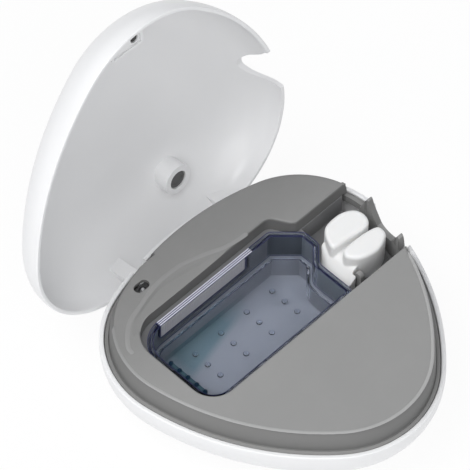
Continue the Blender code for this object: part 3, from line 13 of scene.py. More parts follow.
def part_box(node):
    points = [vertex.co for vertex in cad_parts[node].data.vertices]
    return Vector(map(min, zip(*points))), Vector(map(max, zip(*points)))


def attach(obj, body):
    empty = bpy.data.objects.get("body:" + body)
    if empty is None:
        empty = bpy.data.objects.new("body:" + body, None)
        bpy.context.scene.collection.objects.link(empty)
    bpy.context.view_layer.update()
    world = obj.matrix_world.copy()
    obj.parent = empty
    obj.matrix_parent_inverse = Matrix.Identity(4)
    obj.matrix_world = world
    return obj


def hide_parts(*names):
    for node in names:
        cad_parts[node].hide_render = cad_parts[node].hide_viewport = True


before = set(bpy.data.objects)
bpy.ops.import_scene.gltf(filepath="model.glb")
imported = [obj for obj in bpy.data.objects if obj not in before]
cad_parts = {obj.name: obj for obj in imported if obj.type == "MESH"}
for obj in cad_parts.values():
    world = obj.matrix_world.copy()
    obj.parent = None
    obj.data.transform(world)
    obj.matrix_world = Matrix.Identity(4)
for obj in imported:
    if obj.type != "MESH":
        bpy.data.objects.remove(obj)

Point2 = tuple[float, float]
Point3 = tuple[float, float, float]
Corner = tuple[float, float, float]
Colour = tuple[float, float, float]
Solid = tuple[list[Point3], list[tuple[int, ...]]]

MM = 0.001
MERGE = 1e-6
WHITE = (1.0, 1.0, 1.0)
LOG = logging.getLogger("sanitizer")


class Body(str, Enum):
    """The moving bodies of the case."""

    BASE = "base"
    LID = "lid"
    TRAY = "tray"
    REST = "rest"
    SWITCH = "lid_switch"


class Op(str, Enum):
    """How a guide shape changes the piece that it meets."""

    JOIN = "UNION"
    CUT = "DIFFERENCE"
    KEEP = "INTERSECT"


# Outlines in the plan


def arc_points(centre: Sequence[float], radius: float, start: float, end: float, steps: int) -> list[Point2]:
    """Points along an arc, its last point left to the next stretch.

    Args:
        centre: Middle of the arc.
        radius: Its radius.
        start: First angle.
        end: Last angle.
        steps: Number of points.

    Returns:
        The points in order.
    """
    span = (end - start) / steps
    return [(centre[0] + radius * math.cos(start + span * i), centre[1] + radius * math.sin(start + span * i))
            for i in range(steps)]


@dataclass(frozen=True)
class CaseOutline:
    """The egg-shaped outline that base, deck and lid share."""

    width: float = 160.0 * MM
    depth: float = 156.7 * MM
    front_radius: float = 51.9 * MM
    corner_radius: float = 49.1 * MM
    back_radius: float = 148.7 * MM
    flank_radius: float = 136.0 * MM
    flank_steps: int = 26
    corner_steps: int = 36
    back_steps: int = 26
    front_steps: int = 40

    @property
    def corner_x(self) -> float:
        """Middle of the rear corner's arc across the width."""
        return self.width / 2 - self.corner_radius

    @property
    def back_drop(self) -> float:
        """Distance from the back arc's middle to the rear corner's."""
        return math.sqrt((self.back_radius - self.corner_radius) ** 2 - self.corner_x ** 2)

    @property
    def corner_y(self) -> float:
        """Middle of the rear corner's arc along the depth."""
        return self.depth / 2 - self.back_radius + self.back_drop

    @property
    def front_y(self) -> float:
        """Middle of the front arc."""
        return self.front_radius - self.depth / 2

    @property
    def back_y(self) -> float:
        """Rearmost place of the outline."""
        return self.depth / 2

    @property
    def flank(self) -> Vector:
        """Middle of the right flank's arc."""
        to_front = self.flank_radius - self.front_radius
        to_corner = self.flank_radius - self.corner_radius
        span = Vector((self.corner_x, self.corner_y - self.front_y))
        along = (to_front ** 2 - to_corner ** 2 + span.length_squared) / (2 * span.length)
        across = math.sqrt(to_front ** 2 - along ** 2)
        unit = span.normalized()
        return Vector((0, self.front_y)) + unit * along + Vector((-unit.y, unit.x)) * across

    def turns(self) -> tuple[float, float, float]:
        """Angles at which front, flank and rear corner run into each other."""
        flank = self.flank
        return (math.atan2(self.front_y - flank.y, -flank.x),
                math.atan2(self.corner_y - flank.y, self.corner_x - flank.x),
                math.atan2(self.back_drop, self.corner_x))

    def ring(self, inset: float) -> list[Point2]:
        """Outline drawn in by an inset, counterclockwise."""
        front, corner, back = self.turns()
        flank, pi = self.flank, math.pi
        cx, cy = self.corner_x, self.corner_y
        points = arc_points((0, self.front_y), self.front_radius - inset, -pi - front, front,
                            self.front_steps)
        points += arc_points(flank, self.flank_radius - inset, front, corner, self.flank_steps)
        points += arc_points((cx, cy), self.corner_radius - inset, corner, back, self.corner_steps)
        points += arc_points((0, cy - self.back_drop), self.back_radius - inset, back, pi - back,
                             self.back_steps)
        points += arc_points((-cx, cy), self.corner_radius - inset, pi - back, pi - corner, self.corner_steps)
        points += arc_points((-flank.x, flank.y), self.flank_radius - inset, pi - corner, pi - front,
                             self.flank_steps)
        return points

    def side_x(self, inset: float, y: float) -> float:
        """Distance of the right side from the middle at one place along the depth."""
        front, corner, _ = self.turns()
        flank = self.flank
        if y > self.corner_y + (self.corner_radius - inset) * math.sin(corner):
            return self.corner_x + math.sqrt((self.corner_radius - inset) ** 2 - (y - self.corner_y) ** 2)
        if y > self.front_y + (self.front_radius - inset) * math.sin(front):
            return flank.x + math.sqrt((self.flank_radius - inset) ** 2 - (y - flank.y) ** 2)
        return math.sqrt((self.front_radius - inset) ** 2 - (y - self.front_y) ** 2)

    def strip(self, inset: float, low: float, high: float, steps: int = 28) -> list[Point2]:
        """Points up the right side between two places along the depth."""
        places = [low + (high - low) * i / steps for i in range(steps + 1)]
        return [(self.side_x(inset, y), y) for y in places]


CASE = CaseOutline()


def inset_corners(corners: Sequence[Corner], inset: float) -> list[Corner]:
    """Corners (x, y, radius) of a counterclockwise path, drawn in by an inset.

    Args:
        corners: The path's corners.
        inset: How far the path is drawn in; a negative one widens it.

    Returns:
        The moved corners with fitting radii.
    """
    moved = []
    for i, corner in enumerate(corners):
        here = Vector(corner[:2])
        before = (here - Vector(corners[i - 1][:2])).normalized()
        after = (Vector(corners[(i + 1) % len(corners)][:2]) - here).normalized()
        turn = before.x * after.y - before.y * after.x
        bisector = Vector((-before.y - after.y, before.x + after.x))
        place = here + bisector * (2 * inset / bisector.length_squared)
        radius = corner[2]
        if radius > 0:
            radius = max(radius - inset if turn > 0 else radius + inset, 0.05 * MM)
        moved.append((place.x, place.y, radius))
    return moved


def rounded(corners: Sequence[Corner], steps: int = 12) -> list[Point2]:
    """Path through corners (x, y, radius), each radius an arc and each zero a sharp point."""
    points = []
    for i, corner in enumerate(corners):
        here, radius = Vector(corner[:2]), corner[2]
        if radius == 0:
            points.append((here.x, here.y))
            continue
        before = (here - Vector(corners[i - 1][:2])).normalized()
        after = (Vector(corners[(i + 1) % len(corners)][:2]) - here).normalized()
        turn = math.atan2(before.x * after.y - before.y * after.x, before.dot(after))
        normal = Vector((-before.y, before.x)) * math.copysign(1, turn)
        centre = here - before * radius * math.tan(abs(turn) / 2) + normal * radius
        start = math.atan2(-normal.y, -normal.x)
        points += arc_points(centre, radius, start, start + turn, steps)
        end = start + turn
        points.append((centre.x + radius * math.cos(end), centre.y + radius * math.sin(end)))
    return points


def soft_edge(inset: float, z: float, radius: float, start: float, end: float,
              steps: int = 5) -> list[Point2]:
    """Profile points (inset, height) round an edge of a wall."""
    span = (end - start) / steps
    return [(inset + radius * math.cos(start + span * i), z + radius * math.sin(start + span * i))
            for i in range(steps + 1)]


def soft_stretch(near: Sequence[Point2], steps: int) -> list[Point2]:
    """Soft curve from the second to the third of four points, its end left to the next stretch."""
    a, b, c, d = (Vector(point) for point in near)
    bend = 2 * a - 5 * b + 4 * c - d
    twist = 3 * b - a - 3 * c + d
    places = []
    for k in range(steps):
        t = k / steps
        places.append(0.5 * (2 * b + (c - a) * t + bend * t ** 2 + twist * t ** 3))
    return [(place.x, place.y) for place in places]


def closed_curve(points: Sequence[Point2], steps: int = 8) -> list[Point2]:
    """Soft closed curve through points."""
    count = len(points)
    return [place for i in range(count)
            for place in soft_stretch([points[k % count] for k in range(i - 1, i + 3)], steps)]


def smooth_path(points: Sequence[Point2], steps: int = 5) -> list[Point2]:
    """Soft curve through points, its ends kept."""
    last = len(points) - 1
    places = [place for i in range(last)
              for place in soft_stretch([points[max(0, min(last, k))] for k in range(i - 1, i + 3)], steps)]
    return [*places, tuple(points[-1])]


def drawn_in(points: Sequence[Point2], inset: float) -> list[Point2]:
    """Closed counterclockwise curve with each point moved inwards."""
    moved = []
    for i, point in enumerate(points):
        way = (Vector(points[(i + 1) % len(points)]) - Vector(points[i - 1])).normalized()
        moved.append((point[0] - way.y * inset, point[1] + way.x * inset))
    return moved


def within(point: Sequence[float], outline: Sequence[Point2]) -> bool:
    """Tells whether a plan point lies inside a closed outline."""
    found = False
    for i, (x, y) in enumerate(outline):
        before_x, before_y = outline[i - 1]
        if (y > point[1]) != (before_y > point[1]):
            if point[0] < (before_x - x) * (point[1] - y) / (before_y - y) + x:
                found = not found
    return found


# Shapes


def level(points: Iterable[Point2], z: float) -> list[Point3]:
    """Plan points at one height."""
    return [(x, y, z) for x, y in points]


def loft(rings: Sequence[Sequence[Point3]]) -> Solid:
    """Closed shape through rings of equal count, capped at its first and last ring."""
    count = len(rings[0])
    verts = [tuple(p) for ring in rings for p in ring]
    faces = [tuple(range(count))[::-1], tuple(range(len(verts) - count, len(verts)))]
    for k in range(len(rings) - 1):
        low = k * count
        for i in range(count):
            j = (i + 1) % count
            faces.append((low + i, low + j, low + count + j, low + count + i))
    return verts, faces


def hoop(rings: Sequence[Sequence[Point3]]) -> Solid:
    """Closed band through rings of equal count, the last joined to the first."""
    count = len(rings[0])
    verts = [tuple(p) for ring in rings for p in ring]
    faces = []
    for k in range(len(rings)):
        low, high = k * count, (k + 1) % len(rings) * count
        for i in range(count):
            j = (i + 1) % count
            faces.append((low + i, low + j, high + j, high + i))
    return verts, faces


def bead(path: Sequence[Point2], z: float, half: float, rise: float) -> Solid:
    """Low soft bead along a plan path, thin at its ends.

    Args:
        path: Its middle line.
        z: Height of its middle.
        half: Half of its width.
        rise: Half of its thickness.

    Returns:
        The bead.
    """
    rings = []
    last, thin, sides = len(path) - 1, 0.2, 8
    for i, point in enumerate(path):
        way = (Vector(path[min(i + 1, last)]) - Vector(path[max(i - 1, 0)])).normalized()
        side = Vector((-way.y, way.x))
        size = thin if i in (0, last) else 1.0
        ring = []
        for k in range(sides):
            angle = math.tau * k / sides
            place = Vector(point) + side * half * size * math.cos(angle)
            ring.append((place.x, place.y, z + rise * size * math.sin(angle)))
        rings.append(ring)
    return loft(rings)


def case_loft(profile: Sequence[Point2]) -> Solid:
    """Shape that follows the case's outline through profile points (inset, height)."""
    return loft([level(CASE.ring(inset), z) for inset, z in profile])


def prism(points: Sequence[Point2], low: float, high: float) -> Solid:
    """Plan outline carried from one height to another."""
    return loft([level(points, low), level(points, high)])


def slab(points: Sequence[Point2], low: float, high: float) -> Solid:
    """Outline in the YZ plane carried from one X to another."""
    return loft([[(low, y, z) for y, z in points], [(high, y, z) for y, z in points]])


def box(low: Sequence[float], high: Sequence[float]) -> Solid:
    """Block between two opposite corners."""
    corners = [(low[0], low[1]), (high[0], low[1]), (high[0], high[1]), (low[0], high[1])]
    return prism(corners, low[2], high[2])


def turned(centre: Sequence[float], axis: Sequence[float], profile: Sequence[Point2],
           steps: int = 32) -> Solid:
    """Round shape on an axis through rings (radius, distance along the axis)."""
    along_axis = Vector(axis)
    side = along_axis.orthogonal().normalized()
    other = along_axis.cross(side)
    rings = []
    for radius, along in profile:
        middle = Vector(centre) + along_axis * along
        turns = [math.tau * i / steps for i in range(steps)]
        rings.append([tuple(middle + (side * math.cos(a) + other * math.sin(a)) * radius) for a in turns])
    return loft(rings)


def rod(start: Sequence[float], axis: Sequence[float], radius: float, length: float,
        steps: int = 32) -> Solid:
    """Plain round bar from a point along an axis."""
    return turned(start, axis, [(radius, 0), (radius, length)], steps)


def mesh_object(name: str, shapes: Sequence[Solid]) -> bpy.types.Object:
    """Object made of one or more shapes, with its faces outwards."""
    work = bmesh.new()
    for verts, faces in shapes:
        made = [work.verts.new(v) for v in verts]
        for face in faces:
            work.faces.new([made[i] for i in face])
    bmesh.ops.recalc_face_normals(work, faces=work.faces)
    mesh = bpy.data.meshes.new(name)
    work.to_mesh(mesh)
    work.free()
    obj = bpy.data.objects.new(name, mesh)
    bpy.context.scene.collection.objects.link(obj)
    return obj


def baked(obj: bpy.types.Object) -> bpy.types.Object:
    """The object with its modifiers turned into a plain mesh."""
    graph = bpy.context.evaluated_depsgraph_get()
    mesh = bpy.data.meshes.new_from_object(obj.evaluated_get(graph))
    obj.modifiers.clear()
    obj.data = mesh
    mesh.name = obj.name
    return obj


def worked(obj: bpy.types.Object, op: Op, shapes: Sequence[Solid]) -> bpy.types.Object:
    """The object after a Boolean with shapes that may meet each other."""
    guide = mesh_object(f"{obj.name}_guide", shapes)
    return worked_by(obj, op, guide)


def worked_by(obj: bpy.types.Object, op: Op, guide: bpy.types.Object) -> bpy.types.Object:
    """The object after a Boolean with a guide, which goes away."""
    step = obj.modifiers.new("work", "BOOLEAN")
    step.operation = op.value
    step.solver = "EXACT"
    step.use_self = True
    step.object = guide
    baked(obj)
    bpy.data.objects.remove(guide, do_unlink=True)
    return obj


def edged(obj: bpy.types.Object, width: float, segments: int = 2, angle: float = 38.0,
          weld: float = 0.02 * MM) -> bpy.types.Object:
    """The object welded, with its sharp edges rounded."""
    merge = obj.modifiers.new("weld", "WELD")
    merge.merge_threshold = weld
    if width:
        bevel = obj.modifiers.new("bevel", "BEVEL")
        bevel.width = width
        bevel.segments = segments
        bevel.limit_method = "ANGLE"
        bevel.angle_limit = math.radians(angle)
        bevel.use_clamp_overlap = True
        bevel.miter_outer = "MITER_ARC"
    baked(obj)
    return obj


def shaded(obj: bpy.types.Object, angle: float = 35.0) -> bpy.types.Object:
    """The object with smooth shading broken only at sharp edges."""
    obj.data.shade_smooth()
    obj.data.set_sharp_from_angle(angle=math.radians(angle))
    weight = obj.modifiers.new("weighted", "WEIGHTED_NORMAL")
    weight.keep_sharp = True
    return baked(obj)


# Trees of nodes


class NodeMaker:
    """Adds nodes to one tree."""

    def __init__(self, tree: bpy.types.NodeTree) -> None:
        """Keeps the tree."""
        self.tree = tree

    def feed(self, socket: bpy.types.NodeSocket, value: object) -> None:
        """Gives an input a plain value, or a link where the value is a socket."""
        if isinstance(value, bpy.types.NodeSocket):
            self.tree.links.new(value, socket)
        else:
            socket.default_value = value

    def node(self, kind: str, values: Optional[dict] = None, **settings) -> bpy.types.Node:
        """Adds a node.

        Args:
            kind: Blender's name of the node's type.
            values: Input name or number to a plain value or a socket.
            settings: The node's own settings.

        Returns:
            The node.
        """
        node = self.tree.nodes.new(kind)
        for key, value in settings.items():
            setattr(node, key, value)
        for key, value in (values or {}).items():
            self.feed(node.inputs[key], value)
        return node

    def maths(self, operation: str, *values: object, clamp: bool = False) -> bpy.types.NodeSocket:
        """Result of one sum on numbers and sockets."""
        made = self.node("ShaderNodeMath", dict(enumerate(values)), operation=operation, use_clamp=clamp)
        return made.outputs[0]

    def remap(self, value: bpy.types.NodeSocket, start: object = 0.0, end: object = 1.0, low: float = 0.0,
              high: float = 1.0, **settings) -> bpy.types.NodeSocket:
        """Carries the span from start to end over to the span from low to high."""
        ends = {"Value": value, "From Min": start, "From Max": end, "To Min": low, "To Max": high}
        return self.node("ShaderNodeMapRange", ends, **settings).outputs[0]

    def place(self) -> bpy.types.NodeSocket:
        """Object coordinates."""
        return self.node("ShaderNodeTexCoord").outputs["Object"]

    def noise(self, place: bpy.types.NodeSocket, scale: object, detail: float,
              roughness: float = 0.5) -> bpy.types.NodeSocket:
        """Noise texture's value."""
        values = {"Vector": place, "Scale": scale, "Detail": detail, "Roughness": roughness}
        return self.node("ShaderNodeTexNoise", values).outputs["Fac"]

    def split(self, vector: bpy.types.NodeSocket) -> Sequence[bpy.types.NodeSocket]:
        """The three parts of a vector."""
        return tuple(self.node("ShaderNodeSeparateXYZ", {0: vector}).outputs)

    def joined(self, x: object = 0.0, y: object = 0.0, z: object = 0.0) -> bpy.types.NodeSocket:
        """Vector made of three parts."""
        return self.node("ShaderNodeCombineXYZ", {"X": x, "Y": y, "Z": z}).outputs[0]


# Shader groups


class ShaderGroup(NodeMaker):
    """A node group with named inputs and outputs."""

    def __init__(self, name: str, inputs: dict[str, float], outputs: Sequence[str]) -> None:
        """Makes the empty group.

        Args:
            name: The group's name.
            inputs: Names of number inputs with their usual values.
            outputs: Names of number outputs.
        """
        super().__init__(bpy.data.node_groups.new(name, "ShaderNodeTree"))
        face = self.tree.interface
        for label, value in inputs.items():
            face.new_socket(label, in_out="INPUT", socket_type="NodeSocketFloat").default_value = value
        for label in outputs:
            face.new_socket(label, in_out="OUTPUT", socket_type="NodeSocketFloat")
        self.given = self.tree.nodes.new("NodeGroupInput").outputs
        self.sink = self.tree.nodes.new("NodeGroupOutput")

    def close(self, *values: bpy.types.NodeSocket) -> bpy.types.NodeTree:
        """Joins sockets to the group's outputs, in their order."""
        for socket, value in zip(self.sink.inputs, values):
            self.tree.links.new(value, socket)
        return self.tree


def grain_group() -> bpy.types.NodeTree:
    """Fine moulded grain with slow tone changes, on object coordinates."""
    inputs = {"Grain Scale": 1800.0, "Cloud Scale": 24.0, "Tone Spread": 0.04}
    group = ShaderGroup("MouldedGrain", inputs, ("Height", "Tone", "Cloud"))
    place = group.place()
    grain = group.noise(place, group.given["Grain Scale"], 3.0, 0.55)
    cloud = group.noise(place, group.given["Cloud Scale"], 2.0)
    spread = group.maths("MULTIPLY", group.maths("SUBTRACT", cloud, 0.5), group.given["Tone Spread"])
    return group.close(grain, group.maths("ADD", spread, 1.0), cloud)


def scuff_group() -> bpy.types.NodeTree:
    """Faint hairline scuffs from handling, in two directions."""
    group = ShaderGroup("HandlingScuffs", {"Scale": 90.0, "Amount": 0.3}, ("Scuff",))
    place = group.place()
    masks = []
    for turn in (0.4, 1.7):
        values = {"Vector": place, "Rotation": (0.3, turn, turn), "Scale": (1.0, 14.0, 14.0)}
        turned_place = group.node("ShaderNodeMapping", values).outputs[0]
        lines = group.noise(turned_place, group.given["Scale"], 4.0, 0.6)
        masks.append(group.remap(lines, 0.66, 0.78))
    return group.close(group.maths("MULTIPLY", group.maths("MAXIMUM", *masks), group.given["Amount"]))


def dust_group() -> bpy.types.NodeTree:
    """Mask of fine dust that settles on faces turned upwards."""
    group = ShaderGroup("SettledDust", {"Scale": 60.0, "Amount": 0.1}, ("Dust",))
    facing = group.split(group.node("ShaderNodeNewGeometry").outputs["Normal"])
    upward = group.remap(facing[2], 0.5, 1.0)
    patch = group.remap(group.noise(group.place(), group.given["Scale"], 5.0, 0.7), 0.45, 0.75)
    return group.close(group.maths("MULTIPLY", group.maths("MULTIPLY", upward, patch), group.given["Amount"]))


def wedge_tint_group() -> bpy.types.NodeTree:
    """Mask of a wedge-shaped tint on a floor, widening to the left behind a slanted line."""
    inputs = {"Line Start": 0.035, "Line Slope": 0.23, "Right End": 0.007, "Left End": -0.041, "Top": 0.012}
    group = ShaderGroup("FloorTint", inputs, ("Mask",))
    x, y, z = group.split(group.place())
    given = group.given
    from_right = group.maths("SUBTRACT", x, given["Right End"])
    line = group.maths("MULTIPLY_ADD", from_right, given["Line Slope"], given["Line Start"])
    across = group.remap(group.maths("SUBTRACT", y, line), -0.0015, 0.0025)
    right = group.remap(from_right, 0.004, -0.014)
    left = group.remap(group.maths("SUBTRACT", x, given["Left End"]), -0.004, 0.006)
    low = group.maths("LESS_THAN", z, given["Top"])
    held = group.maths("MULTIPLY", group.maths("MULTIPLY", across, right), left)
    return group.close(group.maths("MULTIPLY", held, low))


def painted_rear_shade_group() -> bpy.types.NodeTree:
    """Painted shade: tone that falls off softly towards the back, where the open lid shades the deck."""
    group = ShaderGroup("PaintedRearShade", {"Start": 0.0, "End": 0.062, "Amount": 0.2}, ("Tone",))
    given = group.given
    depth = group.split(group.place())[1]
    share = group.remap(depth, given["Start"], given["End"], interpolation_type="SMOOTHSTEP")
    return group.close(group.maths("SUBTRACT", 1.0, group.maths("MULTIPLY", share, given["Amount"])))


class Groups:
    """The shader groups, each built once."""

    trees: dict[str, bpy.types.NodeTree] = {}
    makers = {"grain": grain_group, "scuff": scuff_group, "dust": dust_group, "wedge_tint": wedge_tint_group,
              "rear_shade": painted_rear_shade_group}

    @classmethod
    def get(cls, name: str) -> bpy.types.NodeTree:
        """The named group, built when first asked for."""
        if name not in cls.trees:
            cls.trees[name] = cls.makers[name]()
        return cls.trees[name]


# Finishes


def opaque(colour: Colour) -> tuple[float, float, float, float]:
    """Colour with full cover."""
    return *colour, 1.0


class Surface(NodeMaker):
    """A material's tree round its Principled shader."""

    def __init__(self, name: str, colour: Colour) -> None:
        """Makes the plain material.

        Args:
            name: The material's name.
            colour: Its main colour.
        """
        self.material = bpy.data.materials.new(name)
        self.material.use_nodes = True
        self.material.diffuse_color = opaque(colour)
        super().__init__(self.material.node_tree)
        self.shader = self.tree.nodes["Principled BSDF"]
        self.colour = opaque(colour)
        self.set({"Base Color": self.colour})

    def set(self, values: dict[str, object]) -> None:
        """Gives inputs of the shader their values or links."""
        for label, value in values.items():
            self.feed(self.shader.inputs[label], value)

    def effect(self, name: str, values: Optional[dict] = None) -> Sequence[bpy.types.NodeSocket]:
        """Adds a shader group and gives its outputs."""
        return self.node("ShaderNodeGroup", values, node_tree=Groups.get(name)).outputs

    def toned(self, tone: bpy.types.NodeSocket) -> bpy.types.NodeSocket:
        """The main colour made lighter or darker."""
        return self.node("ShaderNodeHueSaturation", {"Color": self.colour, "Value": tone}).outputs[0]

    def blend(self, share: bpy.types.NodeSocket, first: object, second: object) -> bpy.types.NodeSocket:
        """Mixes two colours."""
        return self.node("ShaderNodeMix", {0: share, 6: first, 7: second}, data_type="RGBA").outputs[2]

    def bump(self, height: bpy.types.NodeSocket, strength: float, depth: float) -> bpy.types.NodeSocket:
        """Normal that follows a height."""
        values = {"Strength": strength, "Distance": depth, "Height": height}
        return self.node("ShaderNodeBump", values).outputs[0]


@dataclass(frozen=True)
class Plastic:
    """Moulded plastic with grain, scuffs and a little dust, with optional painted shade towards the back and
    an optional painted glow.
    """

    name: str
    colour: Colour
    roughness: float = 0.35
    grain_scale: float = 1800.0
    grain_depth: float = 0.03
    tone_spread: float = 0.05
    scuffs: float = 0.2
    dust: float = 0.06
    coat: float = 0.0
    subsurface: float = 0.0
    specular: float = 0.5
    glow: float = 0.0
    tint: Optional[Colour] = None
    rear_shade: float = 0.0
    dust_colour: Colour = (0.62, 0.61, 0.60)
    scuff_roughness: float = 0.35
    cloud_roughness: float = 0.08
    grain_strength: float = 0.25
    coat_roughness: float = 0.08
    depth_colour: Colour = (1.0, 0.9, 0.8)
    depth_reach: float = 1.5 * MM

    def material(self) -> bpy.types.Material:
        """Builds the material."""
        made = Surface(self.name, self.colour)
        grain = made.effect("grain", {"Grain Scale": self.grain_scale, "Tone Spread": self.tone_spread})
        scuff = made.effect("scuff", {"Amount": self.scuffs})["Scuff"]
        dust = made.effect("dust", {"Amount": self.dust})["Dust"]
        tone = grain["Tone"]
        # Darkens the colour towards the back: painted shade.
        if self.rear_shade:
            tone = made.maths("MULTIPLY", tone, made.effect("rear_shade", {"Amount": self.rear_shade})["Tone"])
        colour = made.blend(dust, made.toned(tone), opaque(self.dust_colour))
        if self.tint:
            colour = made.blend(made.effect("wedge_tint")["Mask"], colour, opaque(self.tint))
        rough = made.maths("MULTIPLY_ADD", scuff, self.scuff_roughness, self.roughness)
        made.set({
            "Base Color": colour,
            "Roughness": made.maths("MULTIPLY_ADD", grain["Cloud"], self.cloud_roughness, rough, clamp=True),
            "Normal": made.bump(grain["Height"], self.grain_strength, self.grain_depth * MM),
            "Coat Weight": self.coat, "Coat Roughness": self.coat_roughness,
            "Specular IOR Level": self.specular})
        # Glow in the part's own colour, for parts that are no lamp: painted light.
        if self.glow:
            made.set({"Emission Color": made.colour, "Emission Strength": self.glow})
        if self.subsurface:
            made.set({"Subsurface Weight": self.subsurface, "Subsurface Radius": self.depth_colour,
                      "Subsurface Scale": self.depth_reach})
        return made.material


@dataclass(frozen=True)
class ClearPlastic:
    """Tinted clear plastic that lets light through."""

    name: str
    colour: Colour
    roughness: float = 0.05
    transmission: float = 1.0
    ior: float = 1.42
    grain_scale: float = 420.0
    cloud_scale: float = 40.0
    tone_spread: float = 0.08
    cloud_roughness: float = 0.05

    def material(self) -> bpy.types.Material:
        """Builds the material."""
        made = Surface(self.name, self.colour)
        grain = made.effect("grain", {"Grain Scale": self.grain_scale, "Cloud Scale": self.cloud_scale,
                                      "Tone Spread": self.tone_spread})
        rough = made.maths("MULTIPLY_ADD", grain["Cloud"], self.cloud_roughness, self.roughness, clamp=True)
        made.set({"Base Color": made.toned(grain["Tone"]), "Roughness": rough,
                  "Transmission Weight": self.transmission, "IOR": self.ior})
        return made.material


@dataclass(frozen=True)
class Metal:
    """Metal with fine drawn or turned lines."""

    name: str
    colour: Colour
    roughness: float = 0.3
    line_scale: float = 900.0
    line_stretch: Point3 = (1.0, 1.0, 20.0)
    tones: Point2 = (0.86, 1.08)
    rougher: Point2 = (-0.08, 0.12)
    line_depth: float = 0.02 * MM

    def material(self) -> bpy.types.Material:
        """Builds the material."""
        made = Surface(self.name, self.colour)
        stretched = made.node("ShaderNodeMapping", {"Vector": made.place(), "Scale": self.line_stretch})
        lines = made.noise(stretched.outputs[0], self.line_scale, 3.0)
        rough = made.remap(lines, low=self.roughness + self.rougher[0], high=self.roughness + self.rougher[1])
        made.set({"Base Color": made.toned(made.remap(lines, low=self.tones[0], high=self.tones[1])),
                  "Roughness": rough, "Normal": made.bump(lines, 0.2, self.line_depth), "Metallic": 1.0})
        return made.material


@dataclass(frozen=True)
class Board:
    """Solder-masked circuit board with fine tracks and pads."""

    name: str
    mask: Colour
    track: Colour
    pitch: float = 260.0
    line_share: Point2 = (0.30, 0.36)
    roughness: float = 0.35

    def material(self) -> bpy.types.Material:
        """Builds the material."""
        made = Surface(self.name, self.mask)
        values = {"Vector": made.place(), "Scale": self.pitch}
        cells = made.node("ShaderNodeTexVoronoi", values, distance="CHEBYCHEV")
        lines = made.remap(cells.outputs["Distance"], *self.line_share)
        made.set({"Base Color": made.blend(lines, opaque(self.track), opaque(self.mask)),
                  "Roughness": self.roughness})
        return made.material


